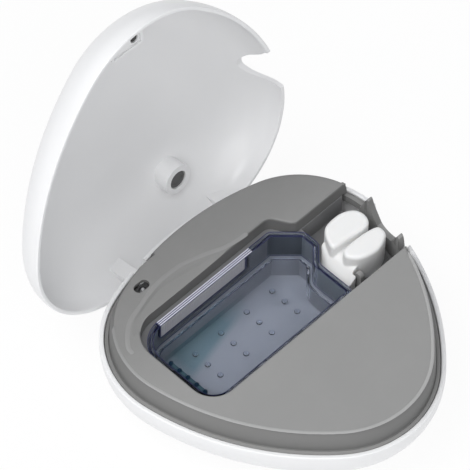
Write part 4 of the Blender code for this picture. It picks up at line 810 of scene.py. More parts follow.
class Finishes:
    """Every finish of the case, each built when first used."""

    made: dict[str, bpy.types.Material] = {}
    table = {
        "white": Plastic("white_gloss_shell", (0.84, 0.84, 0.845), 0.28, scuffs=0.15, tone_spread=0.02,
                         coat=0.15, dust=0.0),
        # The deck's greys darken towards the back: painted shade.
        "grey": Plastic("grey_satin_deck", (0.288, 0.287, 0.283), 0.52, scuffs=0.25, tone_spread=0.05,
                        dust=0.03, specular=0.25, rear_shade=0.24),
        "well": Plastic("grey_well", (0.24, 0.24, 0.245), 0.45, scuffs=0.2, dust=0.02),
        # Paler copy of the well grey for the floor under the tray: painted light.
        "painted_light_basin": Plastic("pale_painted_light_basin", (0.43, 0.43, 0.45), 0.45, scuffs=0.2, dust=0.0,
                         tint=(0.23, 0.32, 0.34)),
        # Near-black copy of the well grey for its right inner walls: painted shade.
        "painted_shade_pit": Plastic("painted_shade_well_wall", (0.10, 0.11, 0.12), 0.45, scuffs=0.2, dust=0.0),
        # This strip and the bar after it glow though they are no lamp: painted light.
        "frost": Plastic("frosted_lilac_strip_painted_glow", (0.56, 0.56, 0.64), 0.25, scuffs=0.1, dust=0.0, glow=0.06),
        "bar": Plastic("grey_lilac_bar_painted_glow", (0.42, 0.42, 0.45), 0.30, scuffs=0.1, dust=0.0, glow=0.04),
        # Lighter grey for the deck's crests: painted highlight.
        "ridge": Plastic("grey_satin_painted_highlight", (0.385, 0.384, 0.380), 0.55, scuffs=0.1, dust=0.0, specular=0.25,
                         rear_shade=0.36),
        # Darker copy of the deck grey for its steep faces: painted shade.
        "wall": Plastic("grey_satin_painted_shade_wall", (0.194, 0.193, 0.190), 0.52, scuffs=0.25, tone_spread=0.05,
                        dust=0.03, specular=0.25, rear_shade=0.20),
        # Lighter bluish copy of the well grey for its right side faces: painted light.
        "side": Plastic("grey_well_painted_light_side", (0.30, 0.32, 0.34), 0.45, scuffs=0.2, dust=0.0),
        # Navy for thin lines along clear edges and grooves: painted shade.
        "edge": Plastic("navy_painted_edge_shade", (0.022, 0.026, 0.09), 0.30, scuffs=0.1, dust=0.0),
        "rest": Plastic("soft_white_rest", (0.84, 0.84, 0.835), 0.50, scuffs=0.08, tone_spread=0.02, dust=0.0,
                        subsurface=0.15),
        "teal": Plastic("dark_teal_comb", (0.008, 0.030, 0.060), 0.30, scuffs=0.1, dust=0.0),
        "band": Plastic("teal_comb_band", (0.020, 0.060, 0.085), 0.35, scuffs=0.1, dust=0.0),
        "rubber": Plastic("standing_rubber", (0.05, 0.05, 0.052), 0.85, grain_scale=900.0, grain_depth=0.08),
        "black": Plastic("black_housing", (0.02, 0.02, 0.021), 0.45),
        "dark": Plastic("dark_insert", (0.085, 0.085, 0.085), 0.40),
        "sleeve": Plastic("capacitor_sleeve", (0.02, 0.03, 0.14), 0.30),
        "tray": ClearPlastic("clear_blue_tray", (0.86, 0.90, 0.97), 0.02, ior=1.18),
        "pip": ClearPlastic("clear_blue_pip", (0.88, 0.91, 0.97), 0.05, ior=1.40),
        "pane": ClearPlastic("ribbed_window", (0.82, 0.84, 0.92), 0.12),
        "glass": ClearPlastic("lamp_glass", (0.90, 0.90, 0.97), 0.02, 0.6),
        "steel": Metal("turned_steel", (0.60, 0.60, 0.61), 0.30),
        "foil": Metal("bright_foil", (0.80, 0.80, 0.84), 0.22, 300.0, (30.0, 1.0, 1.0)),
        "copper": Metal("wound_copper", (0.60, 0.27, 0.11), 0.35, 500.0, (40.0, 1.0, 1.0)),
        "board": Board("green_board", (0.015, 0.13, 0.05), (0.30, 0.42, 0.20)),
    }

    @classmethod
    def get(cls, name: str) -> bpy.types.Material:
        """The named finish's material."""
        if name not in cls.made:
            cls.made[name] = cls.table[name].material()
        return cls.made[name]


def dress(obj: bpy.types.Object, finish: str, body: Body,
          nodes: Sequence[str] = ()) -> bpy.types.Object:
    """Gives a piece its finish and makes it part of the frame.

    Args:
        obj: The piece, in place.
        finish: Name of its finish.
        body: The body that it moves with.
        nodes: Frame nodes that it replaces.

    Returns:
        The piece.
    """
    obj.data.materials.clear()
    obj.data.materials.append(Finishes.get(finish))
    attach(obj, body.value)
    if nodes:
        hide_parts(*nodes)
    LOG.info("%s: %d faces on %s", obj.name, len(obj.data.polygons), body.value)
    return obj


# Repeated pieces by geometry nodes


class NodeTree(NodeMaker):
    """A geometry tree with named inputs, which ends in Realize Instances and Set Material."""

    def __init__(self, name: str, inputs: dict[str, tuple[str, object]]) -> None:
        """Makes the empty tree.

        Args:
            name: The tree's name.
            inputs: Input name to its socket kind and usual value.
        """
        super().__init__(bpy.data.node_groups.new(name, "GeometryNodeTree"))
        face = self.tree.interface
        face.new_socket("Geometry", in_out="INPUT", socket_type="NodeSocketGeometry")
        self.keys: dict[str, str] = {}
        for label, (kind, value) in {**inputs, "Material": ("Material", None)}.items():
            socket = face.new_socket(label, in_out="INPUT", socket_type=f"NodeSocket{kind}")
            if value is not None:
                socket.default_value = value
            self.keys[label] = socket.identifier
        face.new_socket("Geometry", in_out="OUTPUT", socket_type="NodeSocketGeometry")
        self.given = self.tree.nodes.new("NodeGroupInput").outputs
        self.sink = self.tree.nodes.new("NodeGroupOutput")

    def sweep(self, curve: bpy.types.NodeSocket, segments: object,
              radius: bpy.types.NodeSocket) -> bpy.types.NodeSocket:
        """Carries a circle along a curve, its size given along the way."""
        circle = self.node("GeometryNodeCurvePrimitiveCircle", {"Resolution": segments, "Radius": 1.0})
        return self.node("GeometryNodeCurveToMesh", {"Curve": curve, "Profile Curve": circle.outputs[0],
                                                     "Scale": radius, "Fill Caps": True}).outputs[0]

    def line(self, start: object, end: object, count: int) -> bpy.types.NodeSocket:
        """Straight curve with many points."""
        plain = self.node("GeometryNodeCurvePrimitiveLine", {"Start": start, "End": end})
        return self.node("GeometryNodeResampleCurve", {"Curve": plain.outputs[0], "Count": count}).outputs[0]

    def moved(self, geometry: bpy.types.NodeSocket, **values: object) -> bpy.types.NodeSocket:
        """Geometry after a move or a stretch."""
        return self.node("GeometryNodeTransform", {"Geometry": geometry, **values}).outputs[0]

    def close(self, points: bpy.types.NodeSocket, instance: bpy.types.NodeSocket,
              smooth: bool = True) -> None:
        """Sets an instance on each point and ends the tree."""
        placed = self.node("GeometryNodeInstanceOnPoints", {"Points": points, "Instance": instance})
        real = self.node("GeometryNodeRealizeInstances", {0: placed.outputs[0]})
        merged = self.node("GeometryNodeMergeByDistance", {"Geometry": real.outputs[0], "Distance": MERGE})
        shade = self.node("GeometryNodeSetShadeSmooth",
                          {"Geometry": merged.outputs[0], "Shade Smooth": smooth})
        finish = self.node("GeometryNodeSetMaterial", {"Geometry": shade.outputs[0],
                                                       "Material": self.given["Material"]})
        self.tree.links.new(finish.outputs[0], self.sink.inputs[0])

    def make(self, name: str, finish: str, values: dict[str, object],
             mesh: Optional[bpy.types.Mesh] = None) -> bpy.types.Object:
        """Runs the tree once and keeps its result as a plain mesh.

        Args:
            name: The piece's name.
            finish: Name of its finish.
            values: Input name to value.
            mesh: Mesh that the tree starts from, if it needs one.

        Returns:
            The piece.
        """
        obj = bpy.data.objects.new(name, mesh or bpy.data.meshes.new(name))
        bpy.context.scene.collection.objects.link(obj)
        modifier = obj.modifiers.new(name, "NODES")
        modifier.node_group = self.tree
        for label, value in {**values, "Material": Finishes.get(finish)}.items():
            modifier[self.keys[label]] = value
        obj.update_tag()
        bpy.context.view_layer.update()
        return baked(obj)


def row_tree() -> NodeTree:
    """A row of round-topped pegs from a start point, a step and a count."""
    tree = NodeTree("PegRow", {
        "Start": ("Vector", (0.0, 0.0, 0.0)), "Step": ("Vector", (1.0, 0.0, 0.0)), "Count": ("Int", 3),
        "Radius": ("Float", MM), "Length": ("Float", MM), "Rounding": ("Float", 0.2),
        "Axis": ("Vector", (0.0, 0.0, 1.0)), "Segments": ("Int", 16)})
    given = tree.given
    points = tree.node("GeometryNodeMeshLine", {"Count": given["Count"], "Start Location": given["Start"],
                                                "Offset": given["Step"]}, mode="OFFSET")
    reach = tree.node("ShaderNodeVectorMath", {0: given["Axis"], "Scale": given["Length"]}, operation="SCALE")
    spine = tree.line((0.0, 0.0, 0.0), reach.outputs[0], 24)
    along = tree.node("GeometryNodeSplineParameter").outputs["Factor"]
    into = tree.maths("SUBTRACT", along, tree.maths("SUBTRACT", 1.0, given["Rounding"]))
    share = tree.maths("DIVIDE", into, given["Rounding"], clamp=True)
    left = tree.maths("SUBTRACT", 1.02, tree.maths("POWER", share, 2.0))
    radius = tree.maths("MULTIPLY", tree.maths("POWER", left, 0.5), given["Radius"])
    tree.close(points.outputs[0], tree.sweep(spine, given["Segments"], radius))
    return tree


def dome_tree() -> NodeTree:
    """Low round domes on the points of the mesh that the tree starts from."""
    tree = NodeTree("DomeField", {"Radius": ("Float", MM), "Rise": ("Float", MM)})
    radius = tree.given["Radius"]
    ball = tree.node("GeometryNodeMeshUVSphere", {"Segments": 20, "Rings": 12, "Radius": 1.0})
    size = tree.joined(radius, radius, tree.given["Rise"])
    tree.close(tree.given[0], tree.moved(ball.outputs[0], Scale=size))
    return tree


def screw_tree() -> NodeTree:
    """Pan-head screws with a cross recess on the points of the mesh that the tree starts from."""
    tree = NodeTree("CrossScrews", {
        "Head Radius": ("Float", MM), "Head": ("Float", MM), "Radius": ("Float", MM), "Length": ("Float", MM),
        "Pitch": ("Float", MM), "Way": ("Float", 1.0)})
    given = tree.given
    head = tree.node("GeometryNodeMeshCylinder", {"Vertices": 32, "Radius": given["Head Radius"],
                                                  "Depth": given["Head"]})
    middle = tree.joined(z=tree.maths("MULTIPLY", given["Head"], 0.5))
    wide = tree.maths("MULTIPLY", given["Head Radius"], 1.2)
    thin = tree.maths("MULTIPLY", given["Head Radius"], 0.28)
    slots = [tree.node("GeometryNodeMeshCube", {"Size": tree.joined(x, y, given["Head"])})
             for x, y in ((wide, thin), (thin, wide))]
    recess = tree.node("GeometryNodeMeshBoolean", {"Mesh 2": slots[0].outputs[0]}, operation="UNION")
    tree.tree.links.new(slots[1].outputs[0], recess.inputs["Mesh 2"])
    cut = tree.node("GeometryNodeMeshBoolean", {"Mesh 1": tree.moved(head.outputs[0], Translation=middle),
                                                "Mesh 2": recess.outputs[0]}, operation="DIFFERENCE")
    spine = tree.line(middle, tree.joined(z=given["Length"]), 60)
    along = tree.node("GeometryNodeSplineParameter").outputs["Length"]
    saw = tree.maths("PINGPONG", tree.maths("DIVIDE", along, given["Pitch"]), 1.0)
    thread = tree.maths("MULTIPLY_ADD", saw, -0.22, 1.0)
    shank = tree.sweep(spine, 16, tree.maths("MULTIPLY", thread, given["Radius"]))
    whole = tree.node("GeometryNodeJoinGeometry", {0: cut.outputs[0]})
    tree.tree.links.new(shank, whole.inputs[0])
    size = tree.joined(1.0, 1.0, given["Way"])
    tree.close(given[0], tree.moved(whole.outputs[0], Scale=size), smooth=False)
    return tree


def points_mesh(name: str, points: Sequence[Point3]) -> bpy.types.Mesh:
    """Mesh of loose points for a tree to start from."""
    mesh = bpy.data.meshes.new(name)
    mesh.from_pydata([tuple(p) for p in points], [], [])
    return mesh


# Sizes that more than one sub-assembly shares


@dataclass(frozen=True)
class Heights:
    """Heights and walls that the pieces share, in the case's frame."""

    gap: float = 0.3 * MM
    rim: float = 33.0 * MM
    underside: float = 1.5 * MM
    shell_wall: float = 2.3 * MM
    plateau_rise: float = 11.0 * MM
    deck_wall: float = 1.8 * MM
    lip_width: float = 1.7 * MM
    groove_width: float = 0.4 * MM
    ring_wall: float = 3.0 * MM
    hinge_inset: float = 10.6 * MM
    hinge_drop: float = 9.13 * MM
    arm_places: Point2 = (-24.3 * MM, 37.7 * MM)
    arm_width: float = 8.0 * MM
    opening_setback: float = 55.7 * MM
    opening_width: float = 28.0 * MM
    overrun: float = 6.0 * MM
    boss_low: float = 7.3 * MM
    boss_radius: float = 3.4 * MM
    boss_bore: float = 1.6 * MM
    boss_bore_depth: float = 10.0 * MM

    @property
    def lid_rim(self) -> float:
        """Lowest place of the shut lid."""
        return self.rim + self.gap

    @property
    def plateau(self) -> float:
        """Top of the deck."""
        return self.rim + self.plateau_rise

    @property
    def deck_under(self) -> float:
        """Underside of the deck's top."""
        return self.plateau - self.deck_wall

    @property
    def lip_inset(self) -> float:
        """Inset of the deck's outer edge."""
        return self.shell_wall + self.gap

    @property
    def island_inset(self) -> float:
        """Inset of the raised island's wall."""
        return self.lip_inset + self.lip_width + self.groove_width

    @property
    def ring_inset(self) -> float:
        """Inset of the ring wall's inner face."""
        return self.island_inset + self.ring_wall

    @property
    def hinge_y(self) -> float:
        """Place of the hinge axis along the depth."""
        return CASE.back_y - self.hinge_inset

    @property
    def hinge_z(self) -> float:
        """Height of the hinge axis."""
        return self.rim - self.hinge_drop

    @property
    def opening_back(self) -> float:
        """Rear end of the handle opening."""
        return CASE.back_y - self.opening_setback

    @property
    def opening_middle(self) -> float:
        """Middle of the handle opening."""
        return self.opening_back - self.opening_width / 2


H = Heights()


@dataclass(frozen=True)
class CavityPlan:
    """Plan of the cavity in the deck and of the tray that hangs in it."""

    front: float = 69.2 * MM - CASE.depth / 2
    back: float = CASE.back_y - 31.6 * MM
    left: float = 19.8 * MM - CASE.width / 2
    bay_back: float = CASE.back_y - 42.9 * MM
    step_x: float = 38.4 * MM
    step_lean: float = 6.4 * MM
    front_radius: float = 12.0 * MM
    rear_radius: float = 16.0 * MM
    step_radius: float = 5.0 * MM
    tray_side: float = 1.7 * MM
    tray_front: float = 1.2 * MM
    tray_rear: float = 2.5 * MM
    tray_right: float = 34.0 * MM
    bulge: float = 8.0 * MM
    bulge_back: float = 21.3 * MM
    chamfer: float = 12.0 * MM
    tray_radius: float = 4.0 * MM

    def cavity(self) -> list[Corner]:
        """Corners of the cavity, its right side following the ring wall."""
        bay = [(x, y, 0.0) for x, y in CASE.strip(H.ring_inset, self.front, self.bay_back)]
        return [(self.left, self.front, self.front_radius), *bay,
                (self.step_x, self.bay_back, self.step_radius),
                (self.step_x - self.step_lean, self.back, self.step_radius),
                (self.left, self.back, self.rear_radius)]

    def tray(self) -> list[Corner]:
        """Corners of the tray's flange."""
        left, front = self.left + self.tray_side, self.front + self.tray_front
        back, bulge = self.back - self.tray_rear, self.tray_right + self.bulge
        step, r = back - self.bulge_back, self.tray_radius
        return [(left, front, self.front_radius), (self.tray_right, front, r),
                (self.tray_right, step - self.bulge, r), (bulge, step, r), (bulge, back - self.chamfer, r),
                (bulge - self.chamfer, back, r), (left, back, self.rear_radius)]


PLAN = CavityPlan()


def opening_point(along: float, z: float) -> Point2:
    """Point on an edge of the handle opening, in the YZ plane."""
    return H.opening_back + H.opening_width * along, z


def middle_of(name: str) -> Point2:
    """Middle of a frame node in the plan."""
    low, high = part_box(name)
    return (low.x + high.x) / 2, (low.y + high.y) / 2


def screw_boss(name: str, top: float) -> Solid:
    """Boss over a case screw, with its bore.

    Args:
        name: The screw's node.
        top: Height at which the boss ends.

    Returns:
        The boss.
    """
    profile = [(H.boss_bore, H.boss_bore_depth), (H.boss_bore, 0), (H.boss_radius, 0),
               (H.boss_radius, top - H.boss_low)]
    return turned((*middle_of(name), H.boss_low), (0, 0, 1), profile, 24)


# Sub-assemblies


@dataclass
class BaseShell:
    """White bowl of the base."""

    band: float = 3.0 * MM
    run: float = 42.0 * MM
    drop: float = 32.0 * MM
    rim_round: float = 0.7 * MM
    steps: int = 22
    ear_wall: float = 2.5 * MM
    ear_clearance: float = 0.4 * MM
    ear_radius: float = 4.4 * MM
    pin_bore: float = 1.8 * MM
    slot_depth: float = 18.0 * MM
    slot_clearance: float = 0.5 * MM
    notch_depth: float = 11.0 * MM
    inlet_drop: float = 13.0 * MM
    inlet_bore: float = 4.5 * MM
    head_bore: float = 3.25 * MM
    head_depth: float = 3.5 * MM
    screw_bore: float = 1.65 * MM
    screw_depth: float = 9.0 * MM
    edge_round: float = 0.35 * MM

    def profile(self, wall: float, steps: int) -> list[Point2]:
        """Bowl surface (inset, height) from its floor up to its band."""
        fall = H.rim - self.band - H.underside - wall
        end = math.asin(fall / (self.drop - wall))
        points = []
        for i in range(steps + 1):
            angle = end * (1 - i / steps)
            points.append((wall + (self.run - wall) * (1 - math.cos(angle)),
                           H.rim - self.band - (self.drop - wall) * math.sin(angle)))
        return points

    def notch(self) -> list[Point2]:
        """Half-round cut for the brush handle, in the YZ plane."""
        low = arc_points((0, 0), 1, math.pi, math.tau, 36) + [(1.0, 0.0)]
        points = [(H.opening_middle + H.opening_width / 2 * u, H.rim + self.notch_depth * v) for u, v in low]
        return points + [(points[-1][0], H.rim + H.overrun), (points[0][0], H.rim + H.overrun)]

    def build(self) -> None:
        """Builds the bowl with its ears and cuts."""
        r, pi = self.rim_round, math.pi
        rim = soft_edge(H.shell_wall - r, H.rim - r, r, 0, pi / 2) + soft_edge(r, H.rim - r, r, pi / 2, pi)
        inner, outer = self.profile(H.shell_wall, 14), self.profile(0, self.steps)
        shell = mesh_object("base_bowl", [case_loft(inner + rim + outer[::-1])])
        spacing = H.arm_width / 2 + self.ear_clearance
        ear = arc_points((H.hinge_y, H.hinge_z), self.ear_radius, pi / 2, pi * 3 / 2, 16)
        ear += [(CASE.back_y + H.overrun, H.hinge_z - self.ear_radius),
                (CASE.back_y + H.overrun, H.hinge_z + self.ear_radius)]
        ears = []
        for arm_x in H.arm_places:
            ears.append(slab(ear, arm_x - spacing - self.ear_wall, arm_x - spacing))
            ears.append(slab(ear, arm_x + spacing, arm_x + spacing + self.ear_wall))
        core = [*self.profile(H.shell_wall / 2, 14), (H.shell_wall / 2, H.rim - self.rim_round)]
        ears_object = worked(mesh_object("ears", ears), Op.KEEP, [case_loft(core)])
        worked_by(shell, Op.JOIN, ears_object)
        cuts = [slab(self.notch(), CASE.width / 4, CASE.width)]
        half = H.arm_width / 2 + self.slot_clearance
        for arm_x in H.arm_places:
            cuts.append(box((arm_x - half, H.hinge_y - self.ear_radius, H.rim - self.slot_depth),
                            (arm_x + half, CASE.back_y + H.overrun, H.rim + H.overrun)))
            cuts.append(rod((arm_x - spacing - self.ear_wall - MM, H.hinge_y, H.hinge_z), (1, 0, 0),
                            self.pin_bore, 2 * (spacing + self.ear_wall + MM)))
        stepped = [(self.head_bore, -MM), (self.head_bore, self.head_depth),
                   (self.screw_bore, self.head_depth), (self.screw_bore, self.screw_depth)]
        cuts += [turned((*middle_of(f"case_screw_{i}"), 0), (0, 0, 1), stepped) for i in range(1, 5)]
        inlet_x = sum(H.arm_places) / 2
        cuts.append(rod((inlet_x, CASE.back_y - H.hinge_inset, H.rim - self.inlet_drop), (0, 1, 0),
                        self.inlet_bore, 2 * H.hinge_inset))
        worked(shell, Op.CUT, cuts)
        edged(shell, self.edge_round)
        dress(shaded(shell), "white", Body.BASE, ["lower_shell"])


@dataclass
class LidShell:
    """White dome of the lid with its arms, sensor boss and catch."""

    wall: float = 2.1 * MM
    band: float = 2.5 * MM
    run: float = 42.0 * MM
    rise: float = 27.0 * MM
    steps: int = 24
    rim_round: float = 0.6 * MM
    open_angle: float = math.radians(98.0)
    face_setback: float = 1.35 * MM
    knuckle: float = 4.4 * MM
    tail_setback: float = 4.1 * MM
    tail_drop: float = 6.5 * MM
    tail_rise: float = 4.5 * MM
    pin_bore: float = 1.8 * MM
    boss_x: float = 23.0 * MM
    boss_setback: float = 25.5 * MM
    boss_radius: float = 8.0 * MM
    boss_face: float = 17.4 * MM
    bore_radius: float = 4.9 * MM
    bore_depth: float = 4.0 * MM
    catch_width: float = 20.0 * MM
    catch_reach: float = 23.7 * MM
    catch_face: float = 11.6 * MM
    catch_wall: float = 1.6 * MM
    catch_corner: float = 3.0 * MM
    pocket_length: float = 12.0 * MM
    pocket_depth: float = 1.0 * MM
    magnet_x: float = 5.3 * MM
    magnet_reach: float = 19.0 * MM
    magnet_radius: float = 2.0 * MM
    magnet_depth: float = 3.0 * MM
    magnet_round: float = 0.3 * MM
    sensor_height: float = 3.2 * MM
    sensor_round: float = 0.4 * MM
    dimple_depth: float = 0.35 * MM
    edge_round: float = 0.5 * MM
    notch_height: float = 17.6 * MM
    notch_shares: tuple[Point2, ...] = (
        (0.000, 0.00), (-0.025, 0.34), (-0.068, 0.62), (-0.168, 0.84), (-0.339, 0.98), (-0.464, 1.00),
        (-0.589, 0.94), (-0.689, 0.74), (-0.732, 0.54), (-0.804, 0.34), (-0.946, 0.14), (-1.000, 0.00))

    def dome(self, wall: float) -> list[Point2]:
        """Dome surface (inset, height) from its crown down to its band."""
        points = []
        for i in range(self.steps + 1):
            angle = math.pi / 2 * (1 - i / self.steps)
            points.append((wall + (self.run - wall) * (1 - math.cos(angle)),
                           H.lid_rim + self.band + (self.rise - wall) * math.sin(angle)))
        return points

    def opened(self, obj: bpy.types.Object) -> bpy.types.Object:
        """Turns a piece drawn on the shut lid to the open lid's place."""
        axis = Vector((0, H.hinge_y, H.hinge_z))
        obj.data.transform(Matrix.Translation(axis) @ Matrix.Rotation(-self.open_angle, 4, "X")
                           @ Matrix.Translation(-axis))
        return obj

    @property
    def boss(self) -> Point3:
        """Middle of the sensor boss's face on the shut lid."""
        return self.boss_x, CASE.back_y - self.boss_setback, H.lid_rim + self.boss_face

    @property
    def catch(self) -> Point3:
        """Middle of the magnet's bore on the catch housing's face, on the shut lid."""
        return self.magnet_x, -CASE.depth / 2 + self.magnet_reach, H.lid_rim + self.catch_face

    def arm(self) -> list[Point2]:
        """Side of a hinge arm on the shut lid, in the YZ plane."""
        face_y, tail_y = H.hinge_y + self.face_setback, CASE.back_y - self.tail_setback
        top, tail_z = H.lid_rim + self.rise, H.lid_rim - self.tail_drop
        turn = math.acos(self.face_setback / self.knuckle)
        knuckle = arc_points((H.hinge_y, H.hinge_z), self.knuckle, turn, math.tau - turn / 4, 28)
        return [(face_y, top), *knuckle, (tail_y, tail_z), (tail_y + H.overrun, tail_z + self.tail_rise),
                (tail_y + H.overrun, top)]

    def fittings(self) -> bpy.types.Object:
        """Arms, sensor boss and catch housing, which end inside the dome's wall."""
        front, half = -CASE.depth / 2, self.catch_width / 2
        back, corner = front + self.catch_reach, self.catch_corner
        catch_plan = [(-half, front, 0), (half, front, 0), (half, back, corner), (-half, back, corner)]
        arm, reach = self.arm(), H.arm_width / 2
        shapes = [slab(arm, x - reach, x + reach) for x in H.arm_places]
        shapes.append(rod(self.boss, (0, 0, 1), self.boss_radius, self.rise, 48))
        shapes.append(prism(rounded(catch_plan), H.lid_rim + self.catch_face, H.lid_rim + self.rise))
        mid = self.wall / 2
        core = [(mid, H.hinge_z - H.overrun), (mid, H.lid_rim), *self.dome(mid)[::-1]]
        return worked(mesh_object("fittings", shapes), Op.KEEP, [case_loft(core)])

    def cuts(self) -> list[Solid]:
        """Handle notch, bores and catch pocket of the shut lid."""
        below = H.lid_rim - H.overrun
        curve = smooth_path([opening_point(along, H.lid_rim + self.notch_height * up)
                             for along, up in self.notch_shares])
        notch = [opening_point(0.0, below), *curve, opening_point(-1.0, below)]
        x, y, z = self.boss
        pocket_x, catch_z = self.catch_width / 2 - self.catch_wall, self.catch[2]
        pocket_back = -CASE.depth / 2 + self.catch_reach - self.catch_wall
        shapes = [
            slab(notch, CASE.width / 4, CASE.width),
            rod((x, y, z - MM), (0, 0, 1), self.bore_radius, self.bore_depth + MM, 48),
            box((-pocket_x, pocket_back - self.pocket_length, catch_z - MM),
                (pocket_x, pocket_back, catch_z + self.pocket_depth)),
            rod(self.catch, (0, 0, 1), self.magnet_radius + H.gap, self.pocket_depth + self.magnet_depth),
        ]
        half = H.arm_width / 2
        return shapes + [rod((x - half - MM, H.hinge_y, H.hinge_z), (1, 0, 0), self.pin_bore,
                             H.arm_width + 2 * MM) for x in H.arm_places]

    def build_discs(self) -> None:
        """Builds the disc in the sensor boss and the magnet in the catch."""
        x, y, z = self.boss
        disc, soft, dimple = self.bore_radius - H.gap, self.sensor_round, self.dimple_depth
        low = z + self.bore_depth - H.gap - self.sensor_height
        profile = [(disc * 0.5, dimple), (disc * 0.62, dimple), (disc * 0.68, 0.0), (disc - soft, 0.0),
                   (disc, soft), (disc, self.sensor_height)]
        sensor = mesh_object("sensor_disc", [turned((x, y, low), (0, 0, 1), profile, 48)])
        dress(self.opened(shaded(edged(sensor, 0))), "dark", Body.LID, ["sensor_magnet"])
        x, y, z = self.catch
        radius = self.magnet_radius
        profile = [(radius - self.magnet_round, 0), (radius, self.magnet_round),
                   (radius, self.magnet_depth - 2 * H.gap)]
        low = z + self.pocket_depth + H.gap
        magnet = mesh_object("catch_disc", [turned((x, y, low), (0, 0, 1), profile)])
        dress(self.opened(shaded(edged(magnet, 0))), "black", Body.LID, ["catch_magnet"])

    def build(self) -> None:
        """Builds the lid and its two discs."""
        r, pi = self.rim_round, math.pi
        rim = soft_edge(self.wall - r, H.lid_rim + r, r, 0, -pi / 2)
        rim += soft_edge(r, H.lid_rim + r, r, -pi / 2, -pi)
        shell = mesh_object("lid_dome", [case_loft(self.dome(self.wall) + rim + self.dome(0)[::-1])])
        worked_by(shell, Op.JOIN, self.fittings())
        worked(shell, Op.CUT, self.cuts())
        edged(shell, self.edge_round, 3)
        dress(self.opened(shaded(shell)), "white", Body.LID, ["lid_shell"])
        self.build_discs()


